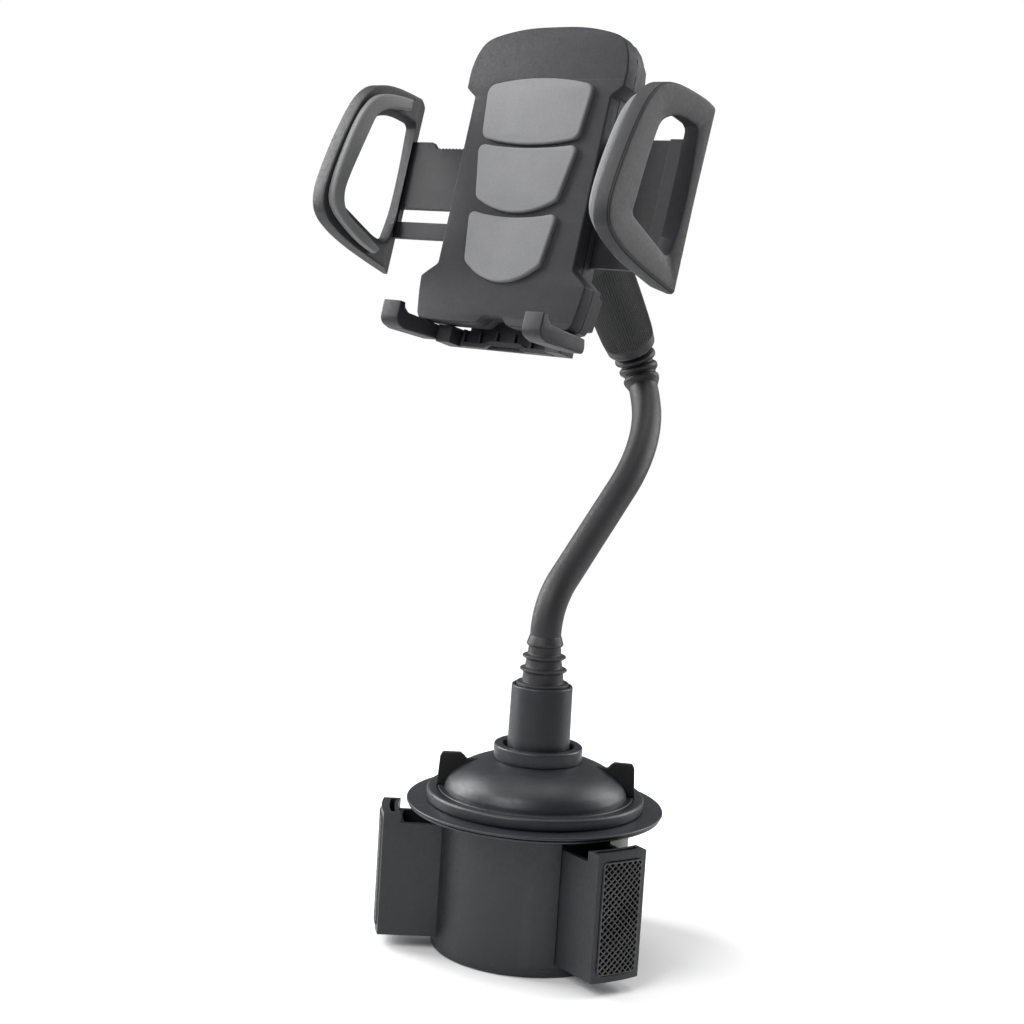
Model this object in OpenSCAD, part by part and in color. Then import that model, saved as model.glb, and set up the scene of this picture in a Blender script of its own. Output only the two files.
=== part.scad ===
// Cup holder phone mount: an expanding base, a bendable neck and a clamping phone cradle.
// Millimetres, +Z up. The origin is the centre of the underside of the base.
// Each node is one physical piece, drawn where it sits in the assembled mount.

/* [Base] */
// outside radius of the barrel that drops into the cup holder
barrel_r = 33; // [28:0.5:38]
// height of the bottom cap
cap_h = 3.2; // [2:0.1:6]
// height of the underside of the top flange
flange_z = 48.8; // [40:0.1:60]
// thickness of the top flange
flange_t = 2.1; // [1.5:0.1:4]
// radius of the top flange
flange_r = 43.9; // [38:0.1:50]
// radius of the knob's rim
knob_r = 37.2; // [32:0.1:42]
// height of the top of the knob's rim
knob_rim_z = 55; // [52:0.1:60]
// radius of the dome where it meets the rim
dome_r = 31.2; // [26:0.1:35]
// radius of the collar ring round the post
collar_r = 15.2; // [12:0.1:18]
// height of the top of the collar ring
collar_z = 71.2; // [66:0.1:80]
// radius of the upper post
post_r = 10.5; // [8:0.1:13]
// height of the top of the upper post
post_z = 92; // [80:1:110]

/* [Wings] */
// heading of the first wing, degrees from -X
wing_turn = 5; // [-30:1:30]
// radius of a wing's outer face with the wings out
wing_r = 52.3; // [46:0.1:56]
// width of a wing
wing_w = 19.1; // [14:0.1:22]
// height of a wing's underside
wing_z0 = 4.8; // [4:0.1:8]
// height of a wing's raised outer box
wing_z1 = 47.5; // [40:0.1:48]
// how far a wing slides in
wing_travel = 16; // [8:0.5:16]
// turn of the knob that draws the wings in, degrees
knob_turn = 150; // [120:1:180]

/* [Neck] */
// outside radius of the rubber sheath
tube_r = 5.3; // [4:0.1:7]
// height where the lower bend would meet if it had no radius
bend1_z = 119.9; // [110:0.1:140]
// centre line radius of the lower bend
bend1_r = 27; // [20:1:40]
// position of the middle bend: right
bend2_x = 32.7; // [0:0.1:50]
// position of the middle bend: back
bend2_y = 37.7; // [0:0.1:60]
// position of the middle bend: up
bend2_z = 173.6; // [150:0.1:190]
// centre line radius of the middle bend
bend2_r = 65; // [30:1:80]
// centre line radius of the upper bend
bend3_r = 15; // [12:0.5:30]
// distance from the upper bend to the ball
neck_top_len = 73.9; // [60:0.1:90]
// lean of the neck's top from the cradle's straight back
neck_lean = 40; // [20:1:50]
// radius of the grip collar
grip_r = 10.2; // [8:0.1:12]
// radius of the ball
ball_r = 8.5; // [6:0.1:10]

/* [Cradle] */
// turn of the cradle about the vertical
cradle_yaw = -38.8; // [-90:0.1:90]
// backward lean of the cradle
cradle_tilt = -13.6; // [-40:0.1:20]
// half width of the head and its shoulders
head_w = 34.2; // [30:0.1:40]
// half width of the waist between the arms
waist_w = 29.7; // [26:0.1:34]
// half width of the hips
hip_w = 36.2; // [30:0.1:40]
// height of the top above the middle
top_z = 54.4; // [45:0.1:65]
// height of the bottom below the middle
bottom_z = -49.2; // [-60:0.1:-40]
// top of the waist
waist_top = 30.6; // [20:0.1:40]
// bottom of the waist
waist_low = -29.1; // [-40:0.1:-20]
// depth of the front shell
front_d = 5.8; // [4:0.1:8]
// depth of the whole body
body_d = 15; // [12:0.1:18]
// how far the grey pads stand out of the face
pad_out = 1.8; // [0.8:0.1:3]

/* [Arms] */
// distance from the middle to the inner face of an arm's frame
arm_x = 58.3; // [40:0.1:70]
// thickness of an arm's frame
arm_t = 6.2; // [4:0.1:8]
// thickness of an arm's grip pad
grip_pad_t = 2.8; // [1.5:0.1:4]
// foremost reach of an arm
arm_front = -31.7; // [-40:0.1:-20]
// how far each arm slides in
arm_travel = 22; // [10:1:22]
// thickness of a slide plate
slide_t = 2.2; // [1.6:0.1:3]
// module of the pinion
gear_m = 0.8; // [0.6:0.1:1]

/* [Feet] */
// inner side of a foot
foot_x0 = 27.3; // [20:0.1:32]
// outer side of a foot
foot_x1 = 35.3; // [28:0.1:40]
// front of a foot's lip
foot_front = -16; // [-24:0.5:-10]
// how far the feet slide down
foot_travel = 10; // [4:1:12]
// half width of the tray between the feet
tray_x = 20; // [16:0.1:24]

/* [Hidden] */
wall = 1.8;
wing_a = [180 + wing_turn, 300 + wing_turn, 60 + wing_turn];
boss_a = [for (a = wing_a) a + 60];
floor_z = cap_h + 1.4;
pin_r0 = 24.2;
cam_z0 = 45.2;
cam_z1 = 48;
dome_h = 13;
dome_top = 66.1;
cradle_pos = [-18.1, 8.9, 260.3];
ball_y = 32;
ball_up = 2;
pinion_z = 3.5;
pinion_n = 12;
gear_r = gear_m * pinion_n / 2;
layer1 = 6;
layer2 = 8.6;
layer3 = 11.2;
tray_front = 9.5;
step_y = 9.4;
step_in = 3.2;

// vectors
function unit(v) = v / norm(v);
function rot_z(v, a) = [v[0] * cos(a) - v[1] * sin(a), v[0] * sin(a) + v[1] * cos(a), v[2]];
function rot_x(v, a) = [v[0], v[1] * cos(a) - v[2] * sin(a), v[1] * sin(a) + v[2] * cos(a)];
function in_cradle(v) = rot_z(rot_x(v, cradle_tilt), cradle_yaw);
ball_p = cradle_pos + in_cradle([0, ball_y, ball_up]);
neck_dir = in_cradle([0, -cos(neck_lean), sin(neck_lean)]);
p0 = [0, 0, 84];
p1 = [0, 0, bend1_z];
p2 = [bend2_x, bend2_y, bend2_z];
p3 = ball_p - neck_top_len * neck_dir;
d0 = [0, 0, 1];
d1 = unit(p2 - p1);
d2 = unit(p3 - p2);
d3 = neck_dir;
turn1 = acos(d0 * d1);
turn2 = acos(d1 * d2);
turn3 = acos(d2 * d3);
t1 = bend1_r * tan(turn1 / 2);
t2 = bend2_r * tan(turn2 / 2);
t3 = bend3_r * tan(turn3 / 2);
joint1 = p1 + (t1 + 5) * d1;
joint2 = p2 - (t2 + 4) * d1;

// node to draw, or "all"

// ---------- shared shapes ----------

module tube(ro, ri, z0, z1) {
    translate([0, 0, z0])
        difference() {
            cylinder(r = ro, h = z1 - z0, $fn = 120);
            translate([0, 0, -1])
                cylinder(r = ri, h = z1 - z0 + 2, $fn = 96);
        }
}

module rod(r, z0, z1) {
    translate([0, 0, z0])
        cylinder(r = r, h = z1 - z0, $fn = 48);
}

module along(p, d) {
    translate(p)
        rotate([0, acos(d[2] / norm(d)), atan2(d[1], d[0])])
            children();
}

// a bend of round bar of radius r from direction a to direction b, meeting at corner c
module bend(c, a, b, bend_r, r, from = 0, to = -1) {
    full = acos(a * b);
    n = unit(b - a * (a * b));
    start = c - a * bend_r * tan(full / 2);
    mid = start + n * bend_r;
    k = cross(-n, a);
    m = [[-n[0], a[0], k[0], mid[0]], [-n[1], a[1], k[1], mid[1]], [-n[2], a[2], k[2], mid[2]], [0, 0, 0, 1]];
    multmatrix(m)
        rotate([0, 0, from])
            rotate_extrude(angle = (to < 0 ? full : to) - from, $fn = 120)
                translate([bend_r, 0])
                    circle(r = r, $fn = 40);
}

module in_cradle_frame() {
    translate(cradle_pos)
        rotate([0, 0, cradle_yaw])
            rotate([cradle_tilt, 0, 0])
                children();
}

// a flat outline in X and Z of the cradle, from y0 back to y1
module slab(y0, y1) {
    translate([0, y1, 0])
        rotate([90, 0, 0])
            linear_extrude(height = y1 - y0)
                children();
}

// a flat outline in Y and Z of the cradle, from x0 to x1
module side(x0, x1) {
    translate([x0, 0, 0])
        rotate([90, 0, 90])
            linear_extrude(height = x1 - x0)
                children();
}

// round bar along the cradle's Y
module ybar(x, z, r, y0, y1) {
    translate([x, y1, z])
        rotate([90, 0, 0])
            cylinder(r = r, h = y1 - y0, $fn = 40);
}

// round bar along the cradle's X
module xbar(y, z, r, x0, x1) {
    translate([x0, y, z])
        rotate([0, 90, 0])
            cylinder(r = r, h = x1 - x0, $fn = 32);
}

// ---------- base ----------

module bottom_cap() {
    color("#3a3b3e")
    difference() {
        rotate_extrude($fn = 180)
            union() {
                square([barrel_r - 1.2, cap_h]);
                translate([0, 1.2])
                    square([barrel_r, cap_h - 1.2]);
                translate([barrel_r - 1.2, 1.2])
                    circle(r = 1.2, $fn = 32);
            }
        for (a = boss_a)
            rotate([0, 0, a])
                translate([30.1, 0, 0]) {
                    rod(1, -1, 10);
                    rod(1.9, -1, 1.7);
                }
        rod(1.7, -1, 10);
        rod(4.2, -1, 2);
    }
}

module cap_screws() {
    color("#8d9095")
    for (a = boss_a)
        rotate([0, 0, a])
            translate([30.1, 0, 0]) {
                rod(1, 1, 13);
                rod(1.8, 0.3, 1.7);
            }
}

module base_barrel() {
    color("#3a3b3e")
    difference() {
        union() {
            difference() {
                rotate_extrude($fn = 180)
                    polygon([
                        [0, cap_h], [barrel_r, cap_h], [barrel_r, flange_z],
                        [barrel_r - 2.2, flange_z], [barrel_r - 2.2, floor_z], [0, floor_z]
                    ]);
                for (a = wing_a)
                    rotate([0, 0, a])
                        translate([barrel_r - 6, -wing_w / 2 - 0.3, floor_z + 0.1])
                            cube([20, wing_w + 0.6, 60]);
            }
            for (a = wing_a)
                rotate([0, 0, a])
                    for (s = [-1, 1])
                        translate([12, s * (wing_w / 2 + 1.05) - 0.8, cap_h + 0.5])
                            cube([barrel_r - 14.8, 1.6, 27]);
            for (a = boss_a)
                rotate([0, 0, a])
                    translate([30.1, 0, 0])
                        rod(2.5, cap_h + 0.5, flange_z - 0.1);
        }
        for (a = boss_a)
            rotate([0, 0, a])
                translate([30.1, 0, 0]) {
                    rod(1, cap_h - 1, 13);
                    rod(1, 36, flange_z + 1);
                }
        rod(1.7, 0, 10);
    }
}

module top_flange() {
    color("#404145")
    difference() {
        rotate_extrude($fn = 180)
            translate([13.1, flange_z])
                union() {
                    square([flange_r - 13.1 - 0.8, flange_t]);
                    translate([0, 0.5])
                        square([flange_r - 13.1, flange_t - 1.3]);
                    translate([flange_r - 13.9, flange_t - 0.8])
                        circle(r = 0.8, $fn = 32);
                }
        for (a = boss_a)
            rotate([0, 0, a])
                translate([30.1, 0, 0]) {
                    rod(1, 40, 60);
                    rod(2, flange_z + 0.9, 60);
                }
    }
}

module flange_screws() {
    color("#8d9095")
    for (a = boss_a)
        rotate([0, 0, a])
            translate([30.1, 0, 0]) {
                rod(1, 36, flange_z + 1);
                rod(1.9, flange_z + 0.9, flange_z + 2);
            }
}

module center_column() {
    color("#4a4b4f")
    difference() {
        rod(5.5, floor_z, 84);
        rod(1.7, 0, 18);
    }
}

module column_screw() {
    color("#8d9095")
    union() {
        rod(1.7, 1.5, 16);
        rod(4, 0.4, 2);
    }
}

module collar_ring() {
    color("#424347")
    difference() {
        rotate_extrude($fn = 120)
            translate([5.5, dome_top + 0.2])
                union() {
                    square([collar_r - 6.3, collar_z - dome_top - 0.2]);
                    square([collar_r - 5.5, collar_z - dome_top - 1]);
                    translate([collar_r - 6.3, collar_z - dome_top - 1])
                        circle(r = 0.8, $fn = 32);
                }
    }
}

module upper_post() {
    color("#4c4d51")
    difference() {
        rod(post_r, collar_z, post_z);
        rod(5.5, collar_z - 1, 84);
        rod(tube_r, 83, post_z + 1);
        rod(9.2, post_z - 1.5, post_z + 1);
    }
}

module dome_body(grow = 0) {
    rotate_extrude($fn = 180)
        polygon(concat(
            [[0, knob_rim_z - 0.5]],
            [for (k = [0:24]) let (a = k * 90 / 24)
                [(dome_r + grow) * cos(a), knob_rim_z + (dome_h + grow) * sin(a)]]
        ));
}

module adjuster_knob() {
    color("#3c3d41")
    difference() {
        union() {
            rotate_extrude($fn = 180)
                polygon([
                    [12, flange_z + flange_t + 0.15],
                    [knob_r - 0.5, flange_z + flange_t + 0.15],
                    [knob_r, flange_z + flange_t + 0.7],
                    [knob_r, knob_rim_z - 1.1],
                    [knob_r - 1.1, knob_rim_z],
                    [12, knob_rim_z]
                ]);
            dome_body();
            rod(12.9, cam_z1, knob_rim_z + 2);
        }
        difference() {
            rotate_extrude($fn = 120)
                polygon(concat(
                    [[12.9, flange_z], [dome_r - 3, flange_z]],
                    [for (k = [0:12]) let (a = k * 60 / 12)
                        [12.9 + (dome_r - 15.9) * cos(a), knob_rim_z - 0.5 + 9.6 * sin(a)]],
                    [[12.9, knob_rim_z + 7.8]]
                ));
            rod(12.9, 40, 80);
        }
        rod(5.56, 40, 80);
        translate([0, 0, dome_top])
            cylinder(r = 40, h = 10, $fn = 48);
        for (a = wing_a)
            rotate([0, 0, a - 77])
                translate([9.2, 0, 0])
                    rod(1, 40, 56);
    }
}

module finger_tab() {
    color("#232427")
    difference() {
        rotate([90, 0, 0])
            translate([0, 0, -1.3])
                linear_extrude(height = 2.6)
                    polygon([
                        [33.9, knob_rim_z], [33.2, knob_rim_z + 10.6], [32.6, knob_rim_z + 11.3],
                        [25.9, knob_rim_z + 11.5], [25, knob_rim_z + 10.8], [24.2, knob_rim_z + 9.3],
                        [19.4, knob_rim_z + 9.8], [24, knob_rim_z]
                    ]);
        dome_body();
    }
}

module finger_tab_left() {
    rotate([0, 0, 180])
        finger_tab();
}

module finger_tab_right() {
    finger_tab();
}

// a point on the edge of the cam slot: k is the step along it, f the angle across it
function cam_at(k, f) =
    let (u = k / 40, r = pin_r0 - wing_travel * u, w = 1.65)
    let (dr = -wing_travel, da = -knob_turn * PI / 180 * r)
    let (t = [dr, da] / norm([dr, da]))
    rot_z([r - w * (cos(f) * t[1] + sin(f) * t[0]), w * (cos(f) * t[0] - sin(f) * t[1]), 0], -knob_turn * u);

module cam_slot() {
    linear_extrude(height = 10)
        polygon([for (p = concat(
            [for (k = [0:40]) cam_at(k, 0)],
            [for (f = [-20:-20:-160]) cam_at(40, f)],
            [for (k = [40:-1:0]) cam_at(k, 180)],
            [for (f = [160:-20:20]) cam_at(0, f)]
        )) [p[0], p[1]]]);
}

module cam_plate() {
    color("#9a9ca0")
    difference() {
        rod(27.4, cam_z0, cam_z1);
        rod(5.8, 40, 60);
        for (a = wing_a) {
            rotate([0, 0, a])
                translate([0, 0, 40])
                    cam_slot();
            rotate([0, 0, a - 77])
                translate([9.2, 0, 0]) {
                    rod(1, 40, 60);
                    rod(1.7, 40, cam_z0 + 1);
                }
        }
    }
}

module cam_screws() {
    color("#8d9095")
    for (a = wing_a)
        rotate([0, 0, a - 77])
            translate([9.2, 0, 0]) {
                rod(1, cam_z0 + 0.5, 55);
                rod(1.6, cam_z0 + 0.1, cam_z0 + 1);
            }
}

// ---------- wings ----------

module wing_body() {
    color("#38393c")
    difference() {
        union() {
            intersection() {
                translate([26, -wing_w / 2, wing_z0])
                    cube([30, wing_w, 39.1]);
                rod(wing_r, 0, 60);
            }
            intersection() {
                translate([40, -wing_w / 2, wing_z0])
                    cube([20, wing_w, wing_z1 - wing_z0]);
                tube(wing_r, wing_r - 5.7, 0, 60);
            }
            translate([22.2, -4, 40.4])
                cube([6, 8, 3.5]);
        }
        intersection() {
            translate([30, -wing_w / 2 + 1.5, wing_z0 + 2])
                cube([30, wing_w - 3, 60]);
            tube(wing_r - 2.7, wing_r - 4.5, 0, 60);
        }
        intersection() {
            translate([28, -wing_w / 2 + 1.8, wing_z0 + 2])
                cube([30, wing_w - 3.6, 60]);
            rod(wing_r - 7.4, 0, 60);
        }
        intersection() {
            pad_outline();
            tube(wing_r + 2, wing_r - 1.2, 0, 60);
        }
        translate([pin_r0, 0, 0])
            rod(1.5, 38, 50);
    }
}

module pad_outline() {
    translate([30, 0, (wing_z0 + wing_z1) / 2])
        rotate([90, 0, 90])
            linear_extrude(height = 40)
                offset(r = 3, $fn = 32)
                    square([wing_w - 3.2 - 6, wing_z1 - wing_z0 - 4.2 - 6], center = true);
}

module wing_pad() {
    color("#2c2d2f")
    intersection() {
        pad_outline();
        tube(wing_r + 0.6, wing_r - 1.2, 0, 60);
    }
}

module cam_pin() {
    color("#b4b6ba")
    translate([pin_r0, 0, 0])
        rod(1.5, 39.2, cam_z1 - 0.2);
}

module wing_left() { rotate([0, 0, wing_a[0]]) wing_body(); }
module wing_right() { rotate([0, 0, wing_a[1]]) wing_body(); }
module wing_rear() { rotate([0, 0, wing_a[2]]) wing_body(); }
module wing_pad_left() { rotate([0, 0, wing_a[0]]) wing_pad(); }
module wing_pad_right() { rotate([0, 0, wing_a[1]]) wing_pad(); }
module wing_pad_rear() { rotate([0, 0, wing_a[2]]) wing_pad(); }
module cam_pin_left() { rotate([0, 0, wing_a[0]]) cam_pin(); }
module cam_pin_right() { rotate([0, 0, wing_a[1]]) cam_pin(); }
module cam_pin_rear() { rotate([0, 0, wing_a[2]]) cam_pin(); }

// ---------- neck ----------

module lower_bellows() {
    color("#2b2c2e")
    difference() {
        rotate_extrude($fn = 96)
            polygon([
                [0, post_z - 1.5], [9.1, post_z - 1.5], [9.1, post_z - 0.6], [7, post_z + 0.2],
                [6.9, post_z + 2.6], [7.6, post_z + 3.3], [7.9, post_z + 4.2], [7.9, post_z + 6],
                [7.2, post_z + 7], [5.9, post_z + 7.3], [5.9, post_z + 8.2], [7.1, post_z + 8.6],
                [7.3, post_z + 9.2], [7.3, post_z + 10.4], [6.8, post_z + 11.2], [5.8, post_z + 11.5],
                [5.8, post_z + 12.6], [6.1, post_z + 13], [6.2, post_z + 13.6], [6.2, post_z + 14.8],
                [5.7, post_z + 15.6], [0, post_z + 15.6]
            ]);
        rod(tube_r, 80, 120);
    }
}

// round bar from a to b, a hair thinner than a bend so that it can run into one
module straight(a, b, r) {
    along(a, b - a)
        rotate([0, 0, 33])
            cylinder(r = r - 0.1, h = norm(b - a), $fn = 40);
}

module path_lower(r, z0) {
    straight([0, 0, z0], p1 - (t1 - 0.5) * d0, r);
    bend(p1, d0, d1, bend1_r, r);
    straight(p1 + (t1 - 0.5) * d1, joint1 - 1.6 * d1, r);
}

module path_core(r, z0, back) {
    straight([0, 0, z0], p1 - (t1 - 0.5) * d0, r);
    bend(p1, d0, d1, bend1_r, r, 0, turn1 - back);
}

module path_upper(r, from, end) {
    straight(joint2 + from * d1, p2 - (t2 - 0.5) * d1, r);
    bend(p2, d1, d2, bend2_r, r);
    straight(p2 + (t2 - 0.5) * d2, p3 - (t3 - 0.5) * d2, r);
    bend(p3, d2, d3, bend3_r, r);
    straight(p3 + (t3 - 0.5) * d3, ball_p - end * d3, r);
}

module sheath_lower() {
    color("#2f3032")
    difference() {
        path_lower(tube_r, 84);
        path_core(3.08, 83, 8);
        translate(joint1)
            sphere(r = tube_r + 0.05, $fn = 64);
    }
}

module core_lower() {
    color("#85878b")
    path_core(3, 84.2, 8.6);
}

module sheath_middle() {
    color("#2f3032")
    difference() {
        union() {
            straight(joint1, joint2 - 1.6 * d1, tube_r);
            translate(joint1)
                sphere(r = tube_r, $fn = 64);
        }
        straight(joint1 + 7 * d1, joint2 - 8 * d1, 3.08);
        translate(joint2)
            sphere(r = tube_r + 0.05, $fn = 64);
    }
}

module core_middle() {
    color("#85878b")
    straight(joint1 + 7.2 * d1, joint2 - 8.2 * d1, 3);
}

module sheath_upper() {
    color("#2f3032")
    difference() {
        union() {
            path_upper(tube_r, 0, 30.2);
            translate(joint2)
                sphere(r = tube_r, $fn = 64);
        }
        path_upper(3.08, 7, 30);
    }
}

module core_upper() {
    color("#85878b")
    path_upper(3, 7.2, 30.3);
}

// a ring of the upper bellows, so many degrees back down the upper bend from its top
module bend_ring(back, r, h) {
    n = unit(d3 - d2 * (d2 * d3));
    mid = p3 - t3 * d2 + n * bend3_r;
    a = turn3 - back;
    along(mid - bend3_r * cos(a) * n + bend3_r * sin(a) * d2, sin(a) * n + cos(a) * d2)
        translate([0, 0, -h / 2])
            cylinder(r = r, h = h, $fn = 64);
}

module upper_bellows() {
    color("#2b2c2e")
    difference() {
        union() {
            bend(p3, d2, d3, bend3_r, tube_r + 0.8, turn3 - 58, turn3 - 1);
            bend_ring(15, 7.4, 2.2);
            bend_ring(32, 7, 2.2);
            bend_ring(49, 6.5, 2.2);
        }
        bend(p3, d2, d3, bend3_r, tube_r + 0.02);
    }
}

module on_neck_top() {
    along(ball_p - 61 * d3, d3)
        children();
}

module collar_core() {
    color("#3d3e41")
    on_neck_top()
        difference() {
            union() {
                rod(8.4, 0.4, 43.5);
                rod(7, 43.4, 46.5);
            }
            rod(tube_r, -1, 31);
            rod(3.5, 30, 50);
        }
}

module grip_sleeve() {
    color("#2e2f31")
    on_neck_top()
        difference() {
            union() {
                rotate_extrude($fn = 120)
                    polygon([
                        [8.4, 0.3], [8.9, 0.3], [grip_r - 1.1, 1.6], [grip_r - 0.8, 5], [grip_r - 0.4, 12],
                        [grip_r, 20], [grip_r - 0.4, 20.4], [grip_r - 0.4, 36], [grip_r - 0.6, 39],
                        [grip_r - 0.6, 42.6], [grip_r - 1.4, 43.4], [8.4, 43.4]
                    ]);
                for (k = [0:35])
                    rotate([0, 0, k * 10])
                        translate([grip_r - 0.7, -0.4, 20])
                            cube([0.65, 0.8, 16.2]);
            }
            rod(8.4, -1, 50);
        }
}

module ball_stud() {
    color("#5b5d61")
    on_neck_top()
        union() {
            rod(3.5, 31.2, 58);
            translate([0, 0, 61])
                rotate_extrude($fn = 96)
                    intersection() {
                        circle(r = ball_r, $fn = 96);
                        translate([0, -20])
                            square([20, 40]);
                    }
        }
}

// ---------- ball clamp ----------

module at_ball() {
    in_cradle_frame()
        translate([0, ball_y, ball_up])
            rotate([-90, 0, 0])
                children();
}

module ball_socket() {
    color("#39393c")
    at_ball()
        difference() {
            union() {
                rod(11.4, -15, 1.8);
                rod(14, 15.2 - ball_y, 17.2 - ball_y);
            }
            rotate_extrude($fn = 96)
                intersection() {
                    circle(r = ball_r + 0.05, $fn = 96);
                    translate([0, -20])
                        square([20, 40]);
                }
            translate([0, 0, 0.9])
                cylinder(r1 = 8.2, r2 = 9.2, h = 2, $fn = 64);
            for (a = [45, 135])
                rotate([0, 0, a])
                    translate([-20, -0.6, -7])
                        cube([40, 1.2, 20]);
        }
}

module lock_nut() {
    color("#303134")
    at_ball()
        difference() {
            rod(15.3, -10.5, 1.3);
            rod(11.46, -20, 20);
            for (k = [0:15])
                rotate([0, 0, k * 22.5])
                    translate([16.6, 0, -30])
                        cylinder(r = 2.1, h = 60, $fn = 32);
        }
}

module socket_retainer() {
    color("#38393c")
    at_ball()
        difference() {
            rod(19, body_d - ball_y, 19.4 - ball_y);
            rod(14.1, -30, 17.3 - ball_y);
            rod(11.7, -30, 0);
            for (a = [45:90:315])
                rotate([0, 0, a])
                    translate([16.4, 0, 0])
                        rod(0.9, -30, 0);
        }
}

module retainer_screws() {
    color("#8d9095")
    at_ball()
        for (a = [45:90:315])
            rotate([0, 0, a])
                translate([16.4, 0, 0]) {
                    rod(0.9, 13.4 - ball_y, 19.4 - ball_y);
                    rod(1.7, 19.4 - ball_y, 20.4 - ball_y);
                }
}

// ---------- cradle body ----------

module half_outline() {
    polygon([
        [0, top_z], [9, top_z - 0.4], [16, top_z - 1.3], [24, top_z - 2.7], [28.5, top_z - 4.2],
        [head_w - 2.6, top_z - 7.4], [head_w - 0.8, top_z - 10.5], [head_w, 38],
        [head_w, waist_top + 3], [head_w - 1.8, waist_top + 1.7], [waist_w, waist_top],
        [waist_w, waist_low], [waist_w + 3.4, waist_low - 2.3], [hip_w, waist_low - 4.6],
        [hip_w - 0.6, waist_low - 10], [hip_w - 1.8, bottom_z + 2.4], [hip_w - 3, bottom_z + 0.7],
        [hip_w - 5.6, bottom_z], [8, bottom_z], [6.4, bottom_z + 0.6], [4.4, bottom_z + 2.4],
        [3, bottom_z + 2.9], [0, bottom_z + 2.9]
    ]);
}

module outline() {
    half_outline();
    mirror([1, 0])
        half_outline();
}

// the face of a pad: upper and lower edges bow by the given amounts
module pad_face(zt, zb, wt, wb, bt, bb) {
    n = 12;
    offset(r = 2, $fn = 32)
        offset(r = -2, $fn = 32)
            polygon(concat(
                [for (k = [-n:n]) [wt * k / n, zt + bt * pow(k / n, 2)]],
                [for (k = [n:-1:-n]) [wb * k / n, zb + bb * pow(k / n, 2)]]
            ));
}

module top_face() { pad_face(36, 12.9, 23, 21, -2.4, 2.3); }
module middle_face() { pad_face(11.7, -10.7, 21.8, 17.8, 1.5, 4.8); }
module bottom_face() { pad_face(-12.4, -34.6, 19.3, 16.6, 2.1, 6.4); }

module pad_top() {
    color("#96979a")
    in_cradle_frame()
        slab(-pad_out, 0.9)
            top_face();
}

module pad_middle() {
    color("#96979a")
    in_cradle_frame()
        slab(-pad_out, 0.9)
            middle_face();
}

module pad_bottom() {
    color("#96979a")
    in_cradle_frame()
        slab(-pad_out, 0.9)
            bottom_face();
}

screw_at = [[-23, 43.5], [23, 43.5], [-27, -41.5], [27, -41.5]];

module front_shell() {
    color("#57585b")
    in_cradle_frame()
        difference() {
            union() {
                difference() {
                    slab(0, front_d - 0.1)
                        outline();
                    slab(wall + 0.2, 20)
                        offset(delta = -wall)
                            outline();
                }
                for (s = screw_at)
                    ybar(s[0], s[1], 2.6, wall, 13.1);
                slab(wall, layer1 + slide_t)
                    difference() {
                        translate([-17.8, 19.2])
                            square([14.8, 15.6]);
                        translate([-16.2, 10])
                            square([11.5, 23.25]);
                    }
                ybar(0, pinion_z, 3, wall, layer1 - 0.15);
                ybar(0, pinion_z, 1.6, wall, layer3 - 0.2);
            }
            for (s = screw_at)
                ybar(s[0], s[1], 1, 4, 14);
            slab(-1, 0.9) {
                top_face();
                middle_face();
                bottom_face();
            }
        }
}

module rear_shell() {
    color("#4e4f52")
    in_cradle_frame()
        difference() {
            union() {
                slab(front_d, step_y)
                    offset(delta = -0.3)
                        outline();
                slab(step_y - 0.01, body_d)
                    offset(delta = -step_in)
                        outline();
            }
            slab(front_d - 1, step_y - 0.6)
                offset(delta = -0.3 - wall)
                    outline();
            slab(front_d - 1, body_d - wall)
                offset(delta = -step_in - 1.4)
                    outline();
            slab(front_d - 1, layer1 + slide_t + 0.15)
                translate([-60, -19.9])
                    square([45, 36]);
            slab(layer2 - 0.15, layer2 + slide_t + 0.15)
                translate([15, -25.8])
                    square([45, 44.4]);
            slab(layer3 - 0.15, layer3 + 1.75)
                translate([-18.2, -70])
                    square([36.4, 40]);
            for (s = screw_at) {
                ybar(s[0], s[1], 1, 10, 20);
                ybar(s[0], s[1], 2.2, body_d - 1.2, 20);
            }
            ybar(-12, 27, 3.55, 10, 20);
            for (a = [45:90:315])
                ybar(16.4 * cos(a), ball_up - 16.4 * sin(a), 0.9, 10, 20);
        }
}

module cradle_screws() {
    color("#8d9095")
    in_cradle_frame()
        for (s = screw_at) {
            ybar(s[0], s[1], 1, 5, body_d - 1);
            ybar(s[0], s[1], 2, body_d - 1.2, body_d - 0.1);
        }
}

// ---------- arm drive ----------

// one flank of an involute tooth, out to the tip circle
function inv(t) = [cos(t) + t * PI / 180 * sin(t), sin(t) - t * PI / 180 * cos(t)];
pressure = 25;
base_r = gear_r * cos(pressure);
tip_r = gear_r + 0.75 * gear_m;
root_r = gear_r - 1.05 * gear_m;
function roll(r) = r <= base_r ? 0 : sqrt(pow(r / base_r, 2) - 1) * 180 / PI;
inv_pitch = tan(pressure) * 180 / PI - pressure;
half_tooth = 90 / pinion_n - 1.3 + inv_pitch;

module tooth() {
    n = 8;
    flank = [for (k = [0:n]) let (p = base_r * inv(roll(tip_r) * k / n)) rot_z([p[0], p[1], 0], -half_tooth)];
    polygon(concat(
        [[0, 0], [root_r * 0.95 * cos(half_tooth), -root_r * 0.95 * sin(half_tooth)]],
        [for (p = flank) [p[0], p[1]]],
        [for (k = [n:-1:0]) [flank[k][0], -flank[k][1]]],
        [[root_r * 0.95 * cos(half_tooth), root_r * 0.95 * sin(half_tooth)]]
    ));
}

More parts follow.
